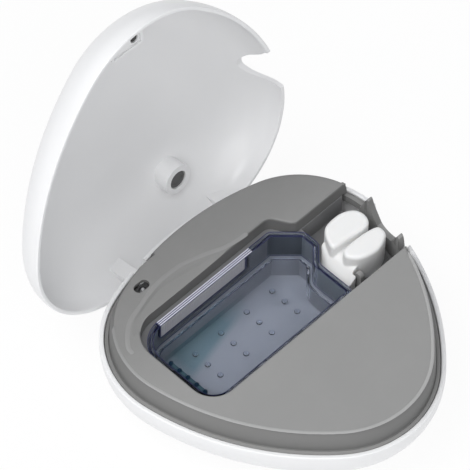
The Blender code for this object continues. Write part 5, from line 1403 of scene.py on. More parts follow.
@dataclass
class Deck:
    """Grey deck with its island, cavity, ring wall and lip."""

    lip_drop: float = 0.6 * MM
    lip_depth: float = 2.1 * MM
    lip_round: float = 0.25 * MM
    groove_depth: float = 0.5 * MM
    shoulder: float = 5.0 * MM
    shoulder_steps: int = 10
    cavity_edge: float = 1.2 * MM
    collar_wall: float = 1.8 * MM
    collar_bottom: float = 36.1 * MM
    apron_depth: float = 12.4 * MM
    shelf_rise: float = 1.5 * MM
    saddle_sink: float = 0.7 * MM
    dish_depth: float = 1.4 * MM
    dish_step: float = 0.8 * MM
    dish_run: float = 1.1 * MM
    dish_reach: float = 4.0 * MM
    edge_round: float = 0.45 * MM
    pocket_clearance: float = 0.5 * MM
    pocket_setback: float = 0.95 * MM
    painted_shade_drop: float = 0.4 * MM
    painted_shade_lean: float = 0.8
    crest_inset: float = 6.8 * MM
    crest_sink: float = 0.12 * MM
    crest_half: float = 0.8 * MM
    crest_rise: float = 0.26 * MM
    crest_ends: Point2 = (-10.5 * MM, 54.0 * MM)
    ridge_half: float = 1.1 * MM
    ridge_rise: float = 0.2 * MM
    # Millimetres in the plan
    ridge_places: tuple[Point2, ...] = (
        (-66.2, 36.0), (-64.6, 41.0), (-55.9, 49.1), (-44.6, 52.8), (-31.4, 56.2), (-15.8, 56.0),
        (-4.4, 52.8), (4.9, 49.2), (13.0, 47.6), (19.0, 47.2))
    switch_x: float = -37.0 * MM
    switch_setback: float = 18.2 * MM
    hole_length: float = 8.3 * MM
    hole_width: float = 5.0 * MM
    ring_shares: tuple[Point2, ...] = (
        (0.090, 1.00), (0.000, 0.80), (-0.048, 1.00), (-0.078, 0.95), (-0.140, 0.66), (-0.260, 0.30),
        (-0.350, 0.07), (-0.435, 0.00), (-0.560, 0.02), (-0.680, 0.12), (-0.770, 0.24), (-0.830, 0.46),
        (-0.880, 0.80), (-0.925, 1.00), (-0.990, 0.92), (-1.040, 0.50), (-1.070, 0.22))
    shoulder_shares: tuple[Point2, ...] = (
        (0.000, 0.000), (0.010, 0.200), (0.050, 0.430), (0.130, 0.640), (0.250, 0.820), (0.360, 0.925),
        (0.470, 0.978), (0.620, 0.997), (0.800, 1.000))
    ridge_shares: tuple[Corner, ...] = (
        (0.010, -0.06, 0.15), (0.046, 0.045, 0.60), (0.099, 0.13, 0.90), (0.165, 0.205, 1.00),
        (0.238, 0.25, 1.00), (0.313, 0.21, 1.00), (0.421, 0.128, 0.90), (0.491, 0.058, 0.70),
        (0.560, 0.01, 0.30))

    def shoulder_points(self, inset: float, radius: float) -> list[Point2]:
        """Soft shoulder (inset, height) of the island."""
        base = H.plateau - self.shoulder
        steps = self.shoulder_steps
        return [(inset + radius * (1 - math.cos(math.pi / 2 * i / steps)),
                 base + radius * math.sin(math.pi / 2 * i / steps)) for i in range(steps + 1)]

    def crisp_shoulder(self) -> list[Point2]:
        """Island wall (inset, height) that leans in and turns crisply into the plateau."""
        low = H.rim - self.lip_drop
        rise = H.plateau - low
        line = smooth_path([(a * self.shoulder, low + b * rise) for a, b in self.shoulder_shares], 4)
        return [(H.island_inset + a, min(z, H.plateau)) for a, z in line[1:]]

    def profile(self) -> list[Point2]:
        """Section (inset, height) of the deck's cap."""
        top = H.rim - self.lip_drop
        under = top - self.lip_depth
        inner, soft = H.island_inset + H.deck_wall, self.lip_round
        points = self.shoulder_points(inner, self.shoulder - H.deck_wall)[::-1]
        points += [(inner, under), (H.lip_inset, under), (H.lip_inset, top - soft), (H.lip_inset + soft, top),
                   (H.island_inset - H.groove_width, top),
                   (H.island_inset - H.groove_width / 2, top - self.groove_depth), (H.island_inset, top)]
        return points + self.crisp_shoulder()

    def ring_cut(self) -> list[Point2]:
        """Section above the ring wall's top edge, in the YZ plane."""
        low, high, shelf = H.rim - self.saddle_sink, H.plateau, H.rim + self.shelf_rise
        curve = smooth_path([opening_point(a, low + (high - low) * up) for a, up in self.ring_shares[1:]], 4)
        curve = [(y, min(z, high)) for y, z in curve]
        points = [(PLAN.bay_back, shelf), opening_point(self.ring_shares[0][0], shelf), *curve]
        points.append((PLAN.front, points[-1][1]))
        return points + [(PLAN.front, high + H.overrun), (PLAN.bay_back, high + H.overrun)]

    def cavity_cut(self) -> Solid:
        """Cavity with a soft top edge."""
        plan, r = PLAN.cavity(), self.cavity_edge
        rings = [level(rounded(plan), H.rim - self.apron_depth - H.overrun)]
        for i in range(7):
            angle = math.pi / 2 * i / 6
            rings.append(level(rounded(inset_corners(plan, -r * (1 - math.cos(angle)))),
                               H.plateau - r + r * math.sin(angle)))
        rings.append(level(rounded(inset_corners(plan, -r)), H.plateau + H.overrun))
        return loft(rings)

    def dish(self) -> Solid:
        """Shallow dish behind the bath."""
        span = CASE.side_x(H.ring_inset, PLAN.back) - PLAN.left
        rear = CASE.back_y - PLAN.back
        line = smooth_path([(a, b) for a, b, _ in self.ridge_shares], 4)
        depths = smooth_path([(a, d) for a, _, d in self.ridge_shares], 4)
        rings = []
        edge_y = PLAN.back - self.dish_reach
        for (a, b), (_, d) in zip(line, depths):
            x, y = PLAN.left + span * a, PLAN.back + rear * b
            mid_y = min(y, max(edge_y, y - self.dish_run))
            rings.append([(x, y, H.plateau), (x, mid_y, H.plateau - self.dish_step * d),
                          (x, edge_y, H.plateau - self.dish_depth * d), (x, edge_y, H.plateau + H.overrun),
                          (x, y, H.plateau + H.overrun)])
        return loft(rings)

    def build(self) -> None:
        """Builds the deck."""
        deck = mesh_object("deck_island", [case_loft(self.profile())])
        collar = rounded(inset_corners(PLAN.cavity(), -self.collar_wall))
        low, high = H.opening_back - H.opening_width - H.ring_wall, H.opening_back + H.ring_wall
        apron = CASE.strip(H.island_inset, low, high) + CASE.strip(H.ring_inset, low, high)[::-1]
        mid = H.deck_under + H.deck_wall / 2
        worked(deck, Op.JOIN, [prism(collar, self.collar_bottom, mid)])
        worked(deck, Op.JOIN, [prism(apron, H.rim - self.apron_depth, H.plateau)])
        worked(deck, Op.JOIN, [screw_boss(name, mid) for name in ("case_screw_1", "case_screw_2")])
        worked(deck, Op.CUT, [self.cavity_cut()])
        worked(deck, Op.CUT, [self.dish()])
        left = CASE.side_x(H.ring_inset, PLAN.front) - H.ring_wall
        worked(deck, Op.CUT, [slab(self.ring_cut(), left, CASE.width)])
        lip = CASE.strip(-H.overrun, H.opening_back - H.opening_width, H.opening_back)
        lip += CASE.strip(H.island_inset, H.opening_back - H.opening_width, H.opening_back)[::-1]
        under = H.rim - self.lip_drop - self.lip_depth
        cuts = [prism(lip, under - H.overrun, H.plateau + H.overrun)]
        half = H.arm_width / 2 + self.pocket_clearance
        for arm_x in H.arm_places:
            cuts.append(box((arm_x - half, H.hinge_y + self.pocket_setback, under - H.overrun),
                            (arm_x + half, CASE.back_y + H.overrun, H.plateau + H.overrun)))
        cuts.append(prism(self.switch_hole(), H.deck_under - MM, H.plateau + H.overrun))
        worked(deck, Op.CUT, cuts)
        edged(deck, self.edge_round, 3, 30.0)
        dress(shaded(deck), "grey", Body.BASE, ["deck"])
        # Steep faces between rim and plateau take the darker grey: painted shade.
        deck.data.materials.append(Finishes.get("wall"))
        for face in deck.data.polygons:
            if H.rim < face.center.z < H.plateau - self.painted_shade_drop and face.normal.z < self.painted_shade_lean:
                face.material_index = 1
        # The crests take the lighter grey: painted highlight.
        dress(shaded(mesh_object("deck_crests_painted_highlight", self.crests())), "ridge", Body.BASE)

    def switch_hole(self) -> list[Point2]:
        """Oval hole over the switch, in the plan."""
        y, r, pi = CASE.back_y - self.switch_setback, self.hole_width / 2, math.pi
        run = (self.hole_length - self.hole_width) / 2
        left, right = self.switch_x - run, self.switch_x + run
        return [*arc_points((right, y), r, -pi / 2, pi / 2, 18), (right, y + r),
                *arc_points((left, y), r, pi / 2, pi * 3 / 2, 18), (left, y - r)]

    def crests(self) -> list[Solid]:
        """Soft crests along the island's front shoulder and along the dish; their lighter grey is a painted
        highlight.
        """
        right_end, left_end = self.crest_ends
        ring = [(x, y) for x, y in CASE.ring(self.crest_inset) if y < right_end or x < 0]
        first = next(i for i, (x, y) in enumerate(ring) if x < 0 and y > left_end)
        front = [(x, y) for x, y in ring[first:] + ring[:first] if x >= 0 or y <= left_end]
        ridge = smooth_path([(x * MM, y * MM) for x, y in self.ridge_places], 6)
        return [bead(front, H.plateau - self.crest_sink, self.crest_half, self.crest_rise),
                bead(ridge, H.plateau, self.ridge_half, self.ridge_rise)]


@dataclass
class Bath:
    """Well, clear tray and strainer comb."""

    tray_rise: float = 4.5 * MM
    flange_width: float = 2.7 * MM
    flange: float = 1.4 * MM
    wall: float = 1.4 * MM
    ledge_drop: float = 15.0 * MM
    ledge: float = 2.8 * MM
    floor_drop: float = 27.5 * MM
    blend: float = 2.4 * MM
    well_wall: float = 1.6 * MM
    clearance: float = 0.6 * MM
    well_floor: float = 1.5 * MM
    well_flange: float = 1.6 * MM
    bay_floor_drop: float = 9.5 * MM
    bay_rim_drop: float = 8.6 * MM
    window_left: float = -40.5 * MM
    window_right: float = 17.0 * MM
    window_height: float = 11.0 * MM
    window_drop: float = 0.8 * MM
    post_x: float = 44.4 * MM
    post_gap: float = 8.3 * MM
    post_width: float = 4.6 * MM
    post_thickness: float = 2.4 * MM
    post_height: float = 11.6 * MM
    pip_radius: float = 1.5 * MM
    pip_rise: float = 0.7 * MM
    pip_pitch: Point2 = (17.0 * MM, 8.2 * MM)
    pip_start: Point2 = (29.0 * MM, 11.8 * MM)
    peg_count: int = 5
    peg_pitch: float = 5.5 * MM
    peg_radius: float = 1.2 * MM
    band_height: float = 19.4 * MM
    band_half: float = 1.0 * MM
    line: float = 0.22 * MM
    bar_face: float = 8.8 * MM
    bar_thickness: float = 0.35 * MM
    bar_strips: int = 3
    bar_left: float = -43.4 * MM
    bar_right: float = 16.6 * MM
    bar_cutback: float = 5.0 * MM
    bar_round: float = 0.08 * MM
    rib_pitch: float = 1.1 * MM
    rib_radius: float = 0.16 * MM
    rib_end: float = 0.7 * MM
    fillet: float = 0.45 * MM
    edge_round: float = 0.3 * MM
    plate_margin: float = 1.8 * MM
    shelf_drop: float = 1.8 * MM
    shelf_reach: float = 11.5 * MM
    window_margin: float = 6.0 * MM
    step_wall: float = 1.8 * MM
    room_margin: float = 0.3 * MM
    lit_side_start: float = 21.0 * MM
    lit_side_lean: float = 0.85
    post_reach: float = 2.76 * MM

    @property
    def tray_top(self) -> float:
        """Top of the tray."""
        return H.rim + self.tray_rise

    @property
    def well_top(self) -> float:
        """Top of the well's flange."""
        return self.tray_top - self.flange - H.gap

    @property
    def well_step(self) -> float:
        """Height of the well's step under the tray's ledge."""
        return self.tray_top - self.ledge_drop - self.wall - self.clearance

    @property
    def well_base(self) -> float:
        """Height of the well's floor."""
        return self.tray_top - self.floor_drop - self.wall - self.clearance

    @property
    def well_inner(self) -> float:
        """Inset of the well's inner face from the tray's outline."""
        return self.flange_width - self.wall - self.clearance

    @property
    def well_outer(self) -> float:
        """Inset of the well's outer face from the tray's outline."""
        return self.well_inner - self.well_wall

    @property
    def bay_floor(self) -> float:
        """Height of the brush bay's floor."""
        return H.rim - self.bay_floor_drop

    @property
    def bay_left(self) -> float:
        """Left side of the brush bay."""
        return PLAN.tray_right - self.well_outer

    @property
    def post_y(self) -> float:
        """Middle of the drain post along the depth."""
        return PLAN.front + self.post_gap

    def ring(self, inset: float, z: float) -> list[Point3]:
        """Tray outline drawn in by an inset, at one height."""
        return level(rounded(inset_corners(PLAN.tray(), inset)), z)

    def tray_prism(self, inset: float, low: float, high: float) -> Solid:
        """Tray outline drawn in by an inset and carried from one height to another."""
        return loft([self.ring(inset, low), self.ring(inset, high)])

    def build_tray(self) -> None:
        """Builds the clear tray with the pips on its floor."""
        top = self.tray_top
        ledge, floor = top - self.ledge_drop, top - self.floor_drop
        inner, lower, w = self.flange_width, self.flange_width + self.ledge, self.wall
        outer = inner - w
        b, r, pi = self.blend, self.fillet, math.pi
        profile = soft_edge(lower + b, floor + b, b, -pi / 2, -pi, 6)
        profile += soft_edge(lower - r, ledge - r, r, 0, pi / 2, 4)
        profile += soft_edge(inner + 2 * r, ledge + 2 * r, 2 * r, -pi / 2, -pi, 4)
        profile += soft_edge(inner - r, top - r, r, 0, pi / 2, 4) + soft_edge(r, top - r, r, pi / 2, pi, 4)
        profile += [(0.0, top - self.flange), (outer, top - self.flange)]
        profile += soft_edge(outer + r, ledge - w + r, r, -pi, -pi / 2 * 3, 1)[:1]
        profile += [(outer, ledge - w), (lower - w, ledge - w)]
        profile += soft_edge(lower + b - w / 2, floor + b - w / 2, b + w / 2, -pi, -pi / 2, 6)
        tray = mesh_object("tray_shell", [loft([self.ring(inset, z) for inset, z in profile])])
        left, back = PLAN.left + PLAN.tray_side, PLAN.back - PLAN.tray_rear
        dress(shaded(edged(tray, 0)), "tray", Body.TRAY, ["bath_tray"])
        # Navy lines round the tray's edges paint the dark rims of the clear plastic: painted shade.
        lines = [self.edge_line(self.line, top), self.edge_line(inner, top - self.line),
                 self.edge_line(inner, ledge), self.edge_line(outer, top - self.flange - self.line)]
        dress(shaded(mesh_object("tray_painted_edge_shade", lines)), "edge", Body.TRAY)
        lip = mesh_object("tray_ledge_painted_shade", [self.edge_line(lower - self.line, ledge, self.line / 2)])
        dress(shaded(lip), "edge", Body.TRAY)
        first_x, first_y = left + self.pip_start[0], back - self.pip_start[1]
        spots = [(first_x + self.pip_pitch[0] * i, first_y - self.pip_pitch[1] * j, floor)
                 for i in range(4) for j in range(3)]
        pips = dome_tree().make("tray_pips", "pip", {"Radius": self.pip_radius, "Rise": self.pip_rise},
                                points_mesh("pip_places", spots))
        dress(pips, "pip", Body.TRAY)

    def edge_line(self, inset: float, z: float, radius: float = 0.0) -> Solid:
        """Thin line that runs round the tray, used for the navy lines of painted shade."""
        r = radius or self.line
        return hoop([self.ring(inset + r * math.cos(a), z + r * math.sin(a))
                     for a in (math.tau * i / 6 for i in range(6))])

    def build_bar(self) -> None:
        """Builds the frosted bar at the tray's rear, with its striped flange and dark lines; its strips and
        face glow as painted light, and its dark lines are painted shade.
        """
        top, back, line = self.tray_top, PLAN.back - PLAN.tray_rear, self.line
        left, right, low = self.bar_left, self.bar_right, top - self.bar_face
        end = right - self.bar_cutback
        face, thick = back - self.flange_width, self.bar_thickness
        step = (self.flange_width + thick) / self.bar_strips
        strips = [box((left, back - step * (i + 1) + line, top - line / 2),
                      (right, back - step * i - line, top + thick)) for i in range(self.bar_strips)]
        bar = mesh_object("bar_strips", strips)
        dress(shaded(edged(bar, self.bar_round)), "frost", Body.TRAY)
        panel = mesh_object("bar_face", [box((left, face - thick, low), (end, face + line, top - 3 * line))])
        dress(shaded(edged(panel, self.bar_round)), "bar", Body.TRAY)
        ribs = row_tree().make("bar_ribs", "bar", {
            "Start": (left + MM, face - thick, low + MM / 2), "Step": (self.rib_pitch, 0.0, 0.0),
            "Count": int((end - left - 2 * MM) / self.rib_pitch), "Radius": self.rib_radius,
            "Length": self.bar_face - 2 * self.rib_end, "Rounding": 0.04, "Segments": 8})
        dress(ribs, "bar", Body.TRAY)
        # Dark lines under, over and at the ends of the bar: painted shade.
        dark = [box((left, face - thick - line, low - 3 * line), (end, face + line, low - line / 2)),
                box((left, face - thick, top - line / 4), (right, back - line, top + line / 2)),
                box((left - 2 * line, face - thick - line, low), (left, back, top + thick)),
                box((end, face - thick - line, low), (end + 4 * line, face, top - line))]
        dress(shaded(mesh_object("bar_painted_shade_lines", dark)), "edge", Body.TRAY)

    def build_comb(self) -> None:
        """Builds the strainer comb of round-topped pegs on a band."""
        low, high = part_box("strainer_comb")
        x, z = (low.x + high.x) / 2, low.z
        pegs = row_tree().make("comb_pegs", "teal", {
            "Start": (x, low.y + self.peg_radius, z), "Step": (0.0, self.peg_pitch, 0.0),
            "Count": self.peg_count, "Radius": self.peg_radius, "Length": high.z - low.z, "Rounding": 0.08})
        dress(pegs, "teal", Body.TRAY, ["strainer_comb"])
        half = self.band_half
        band = mesh_object("comb_band", [box((x - half, low.y + self.peg_radius, z),
                                             (x + half, high.y - self.peg_radius, z + self.band_height))])
        dress(shaded(edged(band, self.edge_round)), "band", Body.TRAY)

    def bay(self) -> list[Corner]:
        """Corners of the brush bay, its right side following the ring wall."""
        left, front, rear = self.bay_left, PLAN.front + H.gap, PLAN.bay_back - H.gap
        step = PLAN.back - PLAN.tray_rear - PLAN.bulge_back
        side = [(x, y, 0.0) for x, y in CASE.strip(H.ring_inset + H.gap + self.well_wall, front, rear)]
        return [(left, front, 0.0), *side, (left + PLAN.bulge, rear, 0.0), (left + PLAN.bulge, step, 0.0),
                (left, step - PLAN.bulge, 0.0)]

    def post(self) -> Solid:
        """Drain post with a round top."""
        y, r, w = self.post_y, self.post_width / 2, self.well_wall
        side = [(y - r, self.bay_floor - w / 2), (y + r, self.bay_floor - w / 2)]
        side += arc_points((y, self.bay_floor + self.post_height - r), r, 0, math.pi, 16)
        side += [(y - r, self.bay_floor + self.post_height - r)]
        half = self.post_thickness / 2
        return slab(side, self.post_x - half, self.post_x + half)

    def paint_well(self, well: bpy.types.Object) -> None:
        """Gives the well's floor, inner walls and post finishes of their own: a paler floor as painted light,
        near-black right walls as painted shade and lighter side faces as painted light.
        """
        for finish in ("painted_light_basin", "painted_shade_pit", "grey", "side"):
            well.data.materials.append(Finishes.get(finish))
        room = rounded(inset_corners(PLAN.tray(), self.well_inner - self.room_margin))
        for face in well.data.polygons:
            at = face.center
            if self.well_base - MM < at.z < self.well_top and within(at, room):
                # The floor under the tray takes the paler grey: painted light.
                if at.z < self.well_step + MM / 2:
                    face.material_index = 1
                # Right side faces take the lighter bluish grey: painted light.
                elif at.x > self.lit_side_start and abs(face.normal.x) > self.lit_side_lean:
                    face.material_index = 4
                # Other inner walls right of the window take the near-black grey: painted shade.
                elif at.x > self.window_right:
                    face.material_index = 2
            across, along = abs(at.x - self.post_x), abs(at.y - self.post_y)
            if across < self.post_thickness and along < self.post_reach and at.z > self.bay_floor + MM:
                face.material_index = 3

    def build_well(self) -> None:
        """Builds the well with the brush bay and its post."""
        top, step, floor, bay_floor = self.well_top, self.well_step, self.well_base, self.bay_floor
        inner, outer, w = self.well_inner, self.well_outer, self.well_wall
        bay = self.bay()
        plate = rounded(inset_corners(PLAN.cavity(), -self.plate_margin))
        pocket = rounded(inset_corners(bay, -w))
        well = mesh_object("bath_liner", [prism(plate, top - self.well_flange, top)])
        for shape in (self.tray_prism(outer, step - w, top - self.well_flange / 2),
                      self.tray_prism(outer + self.ledge, floor - self.well_floor, step),
                      prism(pocket, bay_floor - w, top - self.well_flange / 2)):
            worked(well, Op.JOIN, [shape])
        worked(well, Op.KEEP, [prism(CASE.ring(H.ring_inset + H.gap), H.underside, H.plateau)])
        wall_back = PLAN.back - PLAN.tray_rear - outer
        window_top = top - self.well_flange - self.window_drop
        window_low = window_top - self.window_height
        shelf_top, beside = window_low - self.shelf_drop, self.window_margin
        worked(well, Op.JOIN, [box((self.window_left - beside, wall_back - w / 2, shelf_top - w),
                                   (self.window_right + beside, wall_back + self.shelf_reach, shelf_top))])
        bosses = [screw_boss(name, shelf_top - w / 2) for name in ("case_screw_3", "case_screw_4")]
        worked(well, Op.JOIN, bosses)
        wall_x = self.bay_left + PLAN.bulge + self.step_wall
        for shape in (self.tray_prism(inner, step, top + MM),
                      self.tray_prism(inner + self.ledge, floor, step + MM),
                      prism(rounded(bay), bay_floor, top + MM),
                      box((wall_x, PLAN.front + H.gap - MM, H.rim - self.bay_rim_drop),
                          (CASE.width, PLAN.bay_back - H.gap, top + MM)),
                      box((self.window_left, wall_back - H.overrun, window_low),
                          (self.window_right, wall_back + H.overrun, window_top))):
            worked(well, Op.CUT, [shape])
        worked(well, Op.JOIN, [self.post()])
        edged(well, self.edge_round, 2, 50.0)
        dress(shaded(well), "well", Body.BASE, ["bath_well"])
        self.paint_well(well)

    def build(self) -> None:
        """Builds every piece of the bath."""
        self.build_well()
        self.build_tray()
        self.build_bar()
        self.build_comb()


@dataclass
class BrushRest:
    """White rest: two soft lobes with a groove between them, and a skirt that runs down to the tray."""

    x: float = 55.0 * MM
    length: float = 24.6 * MM
    width: float = 29.8 * MM
    rise: float = 9.0 * MM
    offset: float = 3.2 * MM
    groove_floor: float = 3.2 * MM
    edge_round: float = 1.7 * MM
    low: float = 23.8 * MM
    filler_inset: float = 6.0 * MM
    tray_gap: float = 0.9 * MM
    post_side_gap: float = 1.75 * MM
    post_back_gap: float = 2.8 * MM
    bulge_gap: float = 0.2 * MM
    front_gap: float = 8.5 * MM
    voxel: float = 0.28 * MM
    smoothing: int = 18
    # Plan of the two lobes as shares of the rest's half length and half width
    rear_lobe: tuple[Point2, ...] = (
        (-0.995, 0.165), (-0.35, 0.105), (0.40, 0.020), (0.76, 0.060), (0.95, 0.250), (0.975, 0.540),
        (0.78, 0.800), (0.36, 0.965), (-0.20, 0.980), (-0.60, 0.875), (-0.90, 0.540))
    front_lobe: tuple[Point2, ...] = (
        (-0.90, -0.180), (-0.965, -0.350), (-0.72, -0.650), (-0.30, -0.805), (0.24, -0.845), (0.80, -0.660),
        (0.965, -0.440), (0.90, -0.210), (0.45, -0.100), (-0.20, -0.062), (-0.74, -0.080))
    # Skirt's section from the tray to the lobes, away from the tray and up from the rim
    skirt: tuple[Point2, ...] = (
        (0.6, -4.4), (2.5, -3.6), (4.5, -2.3), (6.5, -0.4), (8.5, 1.6), (11.0, 3.0), (15.0, 3.2))

    def spread(self, shares: Sequence[Point2]) -> list[Point2]:
        """Plan curve through shares of the rest's half length and half width."""
        y = H.opening_middle + self.offset
        return closed_curve([(self.x + self.length / 2 * u, y + self.width / 2 * v) for u, v in shares])

    def lobe(self, shares: Sequence[Point2]) -> Solid:
        """One lobe with a soft top edge."""
        plan, r, top = self.spread(shares), self.edge_round, H.rim + self.rise
        rings = [level(plan, self.low)]
        for i in range(7):
            angle = math.pi / 2 * i / 6
            rings.append(level(drawn_in(plan, r * (1 - math.cos(angle))), top - r + r * math.sin(angle)))
        return loft(rings)

    def build(self) -> None:
        """Builds the rest as one soft form."""
        y, inset = H.opening_middle + self.offset, self.filler_inset
        oval = [(self.x + (self.length / 2 - inset) * u, y + (self.width / 2 - inset) * v)
                for u, v in arc_points((0, 0), 1, 0, math.tau, 72)]
        rest = mesh_object("rest_form", [prism(oval, self.low, H.rim + self.groove_floor)])
        left = PLAN.tray_right + self.tray_gap
        line = smooth_path([(left + a * MM, H.rim + b * MM) for a, b in self.skirt], 5)
        front, back = PLAN.front + self.front_gap, PLAN.back - PLAN.tray_rear - PLAN.bulge_back
        section = [(line[0][0], self.low), (line[-1][0], self.low), *line[::-1]]
        skirt = mesh_object("skirt", [loft([[(x, at, z) for x, z in section] for at in (front, back)])])
        near = left + self.skirt[0][0] * MM
        post_x = Bath.post_x - self.post_side_gap
        post_back = PLAN.front + Bath.post_gap + self.post_back_gap
        plan = [(near, front), (post_x, front), (post_x, post_back), (self.x, post_back), (self.x, back),
                (near + PLAN.bulge + self.bulge_gap, back), (near, back - PLAN.bulge + self.bulge_gap)]
        worked(skirt, Op.KEEP, [prism(plan, self.low - MM, H.rim + self.rise)])
        worked_by(rest, Op.JOIN, skirt)
        for shares in (self.rear_lobe, self.front_lobe):
            worked(rest, Op.JOIN, [self.lobe(shares)])
        remesh = rest.modifiers.new("remesh", "REMESH")
        remesh.mode = "VOXEL"
        remesh.voxel_size = self.voxel
        soften = rest.modifiers.new("soften", "SMOOTH")
        soften.factor = 0.5
        soften.iterations = self.smoothing
        baked(rest)
        rest.data.shade_smooth()
        dress(rest, "rest", Body.REST, ["brush_rest"])


@dataclass
class Lamp:
    """Lamp behind the bath's ribbed window."""

    rib_radius: float = 0.32 * MM
    rib_pitch: float = 0.85 * MM
    margin: float = 2.0 * MM
    pane_round: float = 0.2 * MM
    tube_round: float = 1.4 * MM
    tube_chamfer: float = 0.4 * MM

    def build(self) -> None:
        """Dresses the lamp's pieces and adds the window's ribs."""
        low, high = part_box("lamp_window")
        pane = mesh_object("window_pane", [box(low, high)])
        dress(shaded(edged(pane, self.pane_round)), "pane", Body.BASE, ["lamp_window"])
        count = int((high.x - low.x - 2 * self.margin) / self.rib_pitch)
        ribs = row_tree().make("window_ribs", "pane", {
            "Start": (low.x + self.margin, high.y, low.z + MM), "Step": (self.rib_pitch, 0.0, 0.0),
            "Count": count, "Radius": self.rib_radius, "Length": high.z - low.z - 2 * MM, "Rounding": 0.04,
            "Segments": 10})
        dress(ribs, "pane", Body.BASE)
        low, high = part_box("lamp_tube")
        middle, radius, length = (low + high) / 2, (high.y - low.y) / 2, high.x - low.x
        end = [(radius * 0.5, 0), (radius * 0.9, self.tube_chamfer), (radius, self.tube_round)]
        profile = end + [(size, length - along) for size, along in end[::-1]]
        tube = mesh_object("tube_glass", [turned((low.x, middle.y, middle.z), (1, 0, 0), profile, 40)])
        dress(shaded(edged(tube, 0)), "glass", Body.BASE, ["lamp_tube"])


@dataclass(frozen=True)
class ScrewKind:
    """Sizes of one kind of screw; its way is 1 where it points up and -1 where it points down."""

    name: str
    way: float
    head_radius: float
    head: float
    radius: float
    length: float
    pitch: float = 0.5 * MM


@dataclass
class Hardware:
    """Screws, and the frame's own pieces that keep their shape."""

    finishes: dict[str, str] = field(default_factory=lambda: {
        "standing_pad": "rubber", "lamp_cap_left": "black", "lamp_cap_right": "black",
        "lamp_reflector": "foil", "switch_plunger": "steel", "switch_body": "black", "lid_sensor": "black",
        "catch_plate": "steel", "circuit_board": "board", "drive_coil": "copper", "capacitor": "sleeve",
        "controller_chip": "black", "power_inlet": "black", "hinge_pin_left": "steel",
        "hinge_pin_right": "steel"})
    kinds: tuple[ScrewKind, ...] = (
        ScrewKind("case_screw", 1.0, 2.9 * MM, 1.4 * MM, 1.3 * MM, 13.4 * MM),
        ScrewKind("board_screw", -1.0, 1.9 * MM, 1.2 * MM, 0.9 * MM, 6.9 * MM))

    def build(self) -> None:
        """Dresses the frame's pieces and makes the screws."""
        for name, finish in self.finishes.items():
            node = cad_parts[name]
            node.data.materials.clear()
            node.data.materials.append(Finishes.get(finish))
            LOG.info("%s: dressed in %s", name, finish)
        tree = screw_tree()
        for kind in self.kinds:
            names = [f"{kind.name}_{i}" for i in range(1, 5)]
            spots = [(*middle_of(name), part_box(name)[0 if kind.way > 0 else 1].z) for name in names]
            screws = tree.make(f"{kind.name}s", "steel", {
                "Head Radius": kind.head_radius, "Head": kind.head, "Radius": kind.radius,
                "Length": kind.length, "Pitch": kind.pitch, "Way": kind.way},
                points_mesh(f"{kind.name}_places", spots))
            dress(screws, "steel", Body.BASE, names)


@dataclass(frozen=True)
class AreaLight:
    """One soft light: where it stands seen from the case, how wide it is, and its watts."""

    name: str
    direction: Point3
    size: float
    power: float


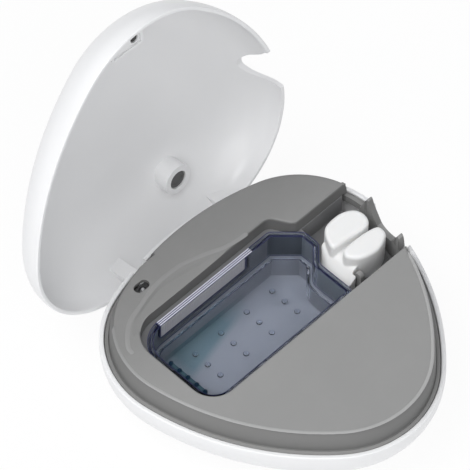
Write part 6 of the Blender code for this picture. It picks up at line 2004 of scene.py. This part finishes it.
@dataclass
class Studio:
    """Floor, lights, world and camera."""

    azimuth: float = -45.232
    elevation: float = 53.835
    roll: float = 0.37
    distance: float = 2.0324
    target: Point3 = (0.0, 70.83 * MM, 33.0 * MM)
    focal: float = 334.25
    shift: Point2 = (0.1126, 0.0134)
    sensor: float = 36.0
    clip: Point2 = (0.1, 20.0)
    floor_size: float = 6.0
    floor_depth: float = 10.0 * MM
    floor_tone: float = 0.88
    floor_share: float = 0.93
    room_colour: Colour = (0.95, 0.97, 1.0)
    room_strength: float = 0.42
    light_target: Point3 = (0.0, 20.0 * MM, 50.0 * MM)
    light_distance: float = 1.6
    lights: tuple[AreaLight, ...] = (AreaLight("key", (-0.75, 0.25, 1.5), 1.0, 13.2),
                                     AreaLight("fill", (-0.7, -1.0, 1.15), 1.6, 11.0))

    def camera(self) -> None:
        """Places the camera at the photograph's viewing angle."""
        a, e, roll = (math.radians(v) for v in (self.azimuth, self.elevation, self.roll))
        back = Vector((math.sin(a) * math.cos(e), -math.cos(a) * math.cos(e), math.sin(e)))
        right = Vector((math.cos(a), math.sin(a), 0))
        up = back.cross(right)
        side = right * math.cos(roll) + up * math.sin(roll)
        top = up * math.cos(roll) - right * math.sin(roll)
        data = bpy.data.cameras.new("camera")
        data.lens, data.sensor_width = self.focal, self.sensor
        data.shift_x, data.shift_y = self.shift
        data.clip_start, data.clip_end = self.clip
        camera = bpy.data.objects.new("camera", data)
        bpy.context.scene.collection.objects.link(camera)
        turn = Matrix((side, top, back)).transposed().to_4x4()
        camera.matrix_world = Matrix.Translation(Vector(self.target) + back * self.distance) @ turn
        bpy.context.scene.camera = camera

    def light(self, light: AreaLight) -> None:
        """Adds one soft light that looks at the case."""
        data = bpy.data.lights.new(light.name, "AREA")
        data.energy, data.size, data.shape = light.power, light.size, "DISK"
        lamp = bpy.data.objects.new(light.name, data)
        bpy.context.scene.collection.objects.link(lamp)
        way = Vector(light.direction).normalized()
        lamp.location = Vector(self.light_target) + way * self.light_distance
        lamp.rotation_mode = "QUATERNION"
        lamp.rotation_quaternion = way.to_track_quat("Z", "Y")

    def floor(self) -> None:
        """Adds the pale floor that shows white to the camera and keeps a faint shadow."""
        half = self.floor_size / 2
        plane = mesh_object("floor", [box((-half, -half, -self.floor_depth), (half, half, 0))])
        made = Surface("pale_floor", (self.floor_tone,) * 3)
        made.set({"Roughness": 0.9})
        glow = made.node("ShaderNodeEmission", {"Color": opaque(WHITE), "Strength": 1.0})
        path = made.node("ShaderNodeLightPath").outputs
        seen = made.maths("MAXIMUM", path["Is Camera Ray"], path["Is Glossy Ray"])
        clear = made.maths("MAXIMUM", seen, path["Is Transmission Ray"])
        mix = made.node("ShaderNodeMixShader", {0: made.maths("MULTIPLY", clear, self.floor_share),
                                                1: made.shader.outputs[0], 2: glow.outputs[0]})
        made.feed(made.tree.nodes["Material Output"].inputs["Surface"], mix.outputs[0])
        plane.data.materials.append(made.material)

    def world(self) -> None:
        """Sets the even light of the room and the white backdrop."""
        world = bpy.data.worlds.new("room")
        bpy.context.scene.world = world
        world.use_nodes = True
        made = NodeMaker(world.node_tree)
        plain = world.node_tree.nodes["Background"]
        plain.inputs["Color"].default_value = opaque(self.room_colour)
        plain.inputs["Strength"].default_value = self.room_strength
        white = made.node("ShaderNodeBackground", {"Color": opaque(WHITE), "Strength": 1.0})
        path = made.node("ShaderNodeLightPath").outputs
        mix = made.node("ShaderNodeMixShader", {0: path["Is Camera Ray"], 1: plain.outputs[0],
                                                2: white.outputs[0]})
        made.feed(world.node_tree.nodes["World Output"].inputs["Surface"], mix.outputs[0])

    def build(self) -> None:
        """Sets the whole studio up."""
        self.camera()
        self.world()
        self.floor()
        for light in self.lights:
            self.light(light)
        bpy.context.scene.view_settings.view_transform = "Standard"


def main() -> None:
    """Builds every sub-assembly in order."""
    logging.basicConfig(level=logging.INFO, format="%(message)s")
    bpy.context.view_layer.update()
    for part in (Studio(), BaseShell(), LidShell(), Deck(), Bath(), BrushRest(), Lamp(), Hardware()):
        LOG.info("building %s", type(part).__name__)
        part.build()


if __name__ == "__main__":
    main()
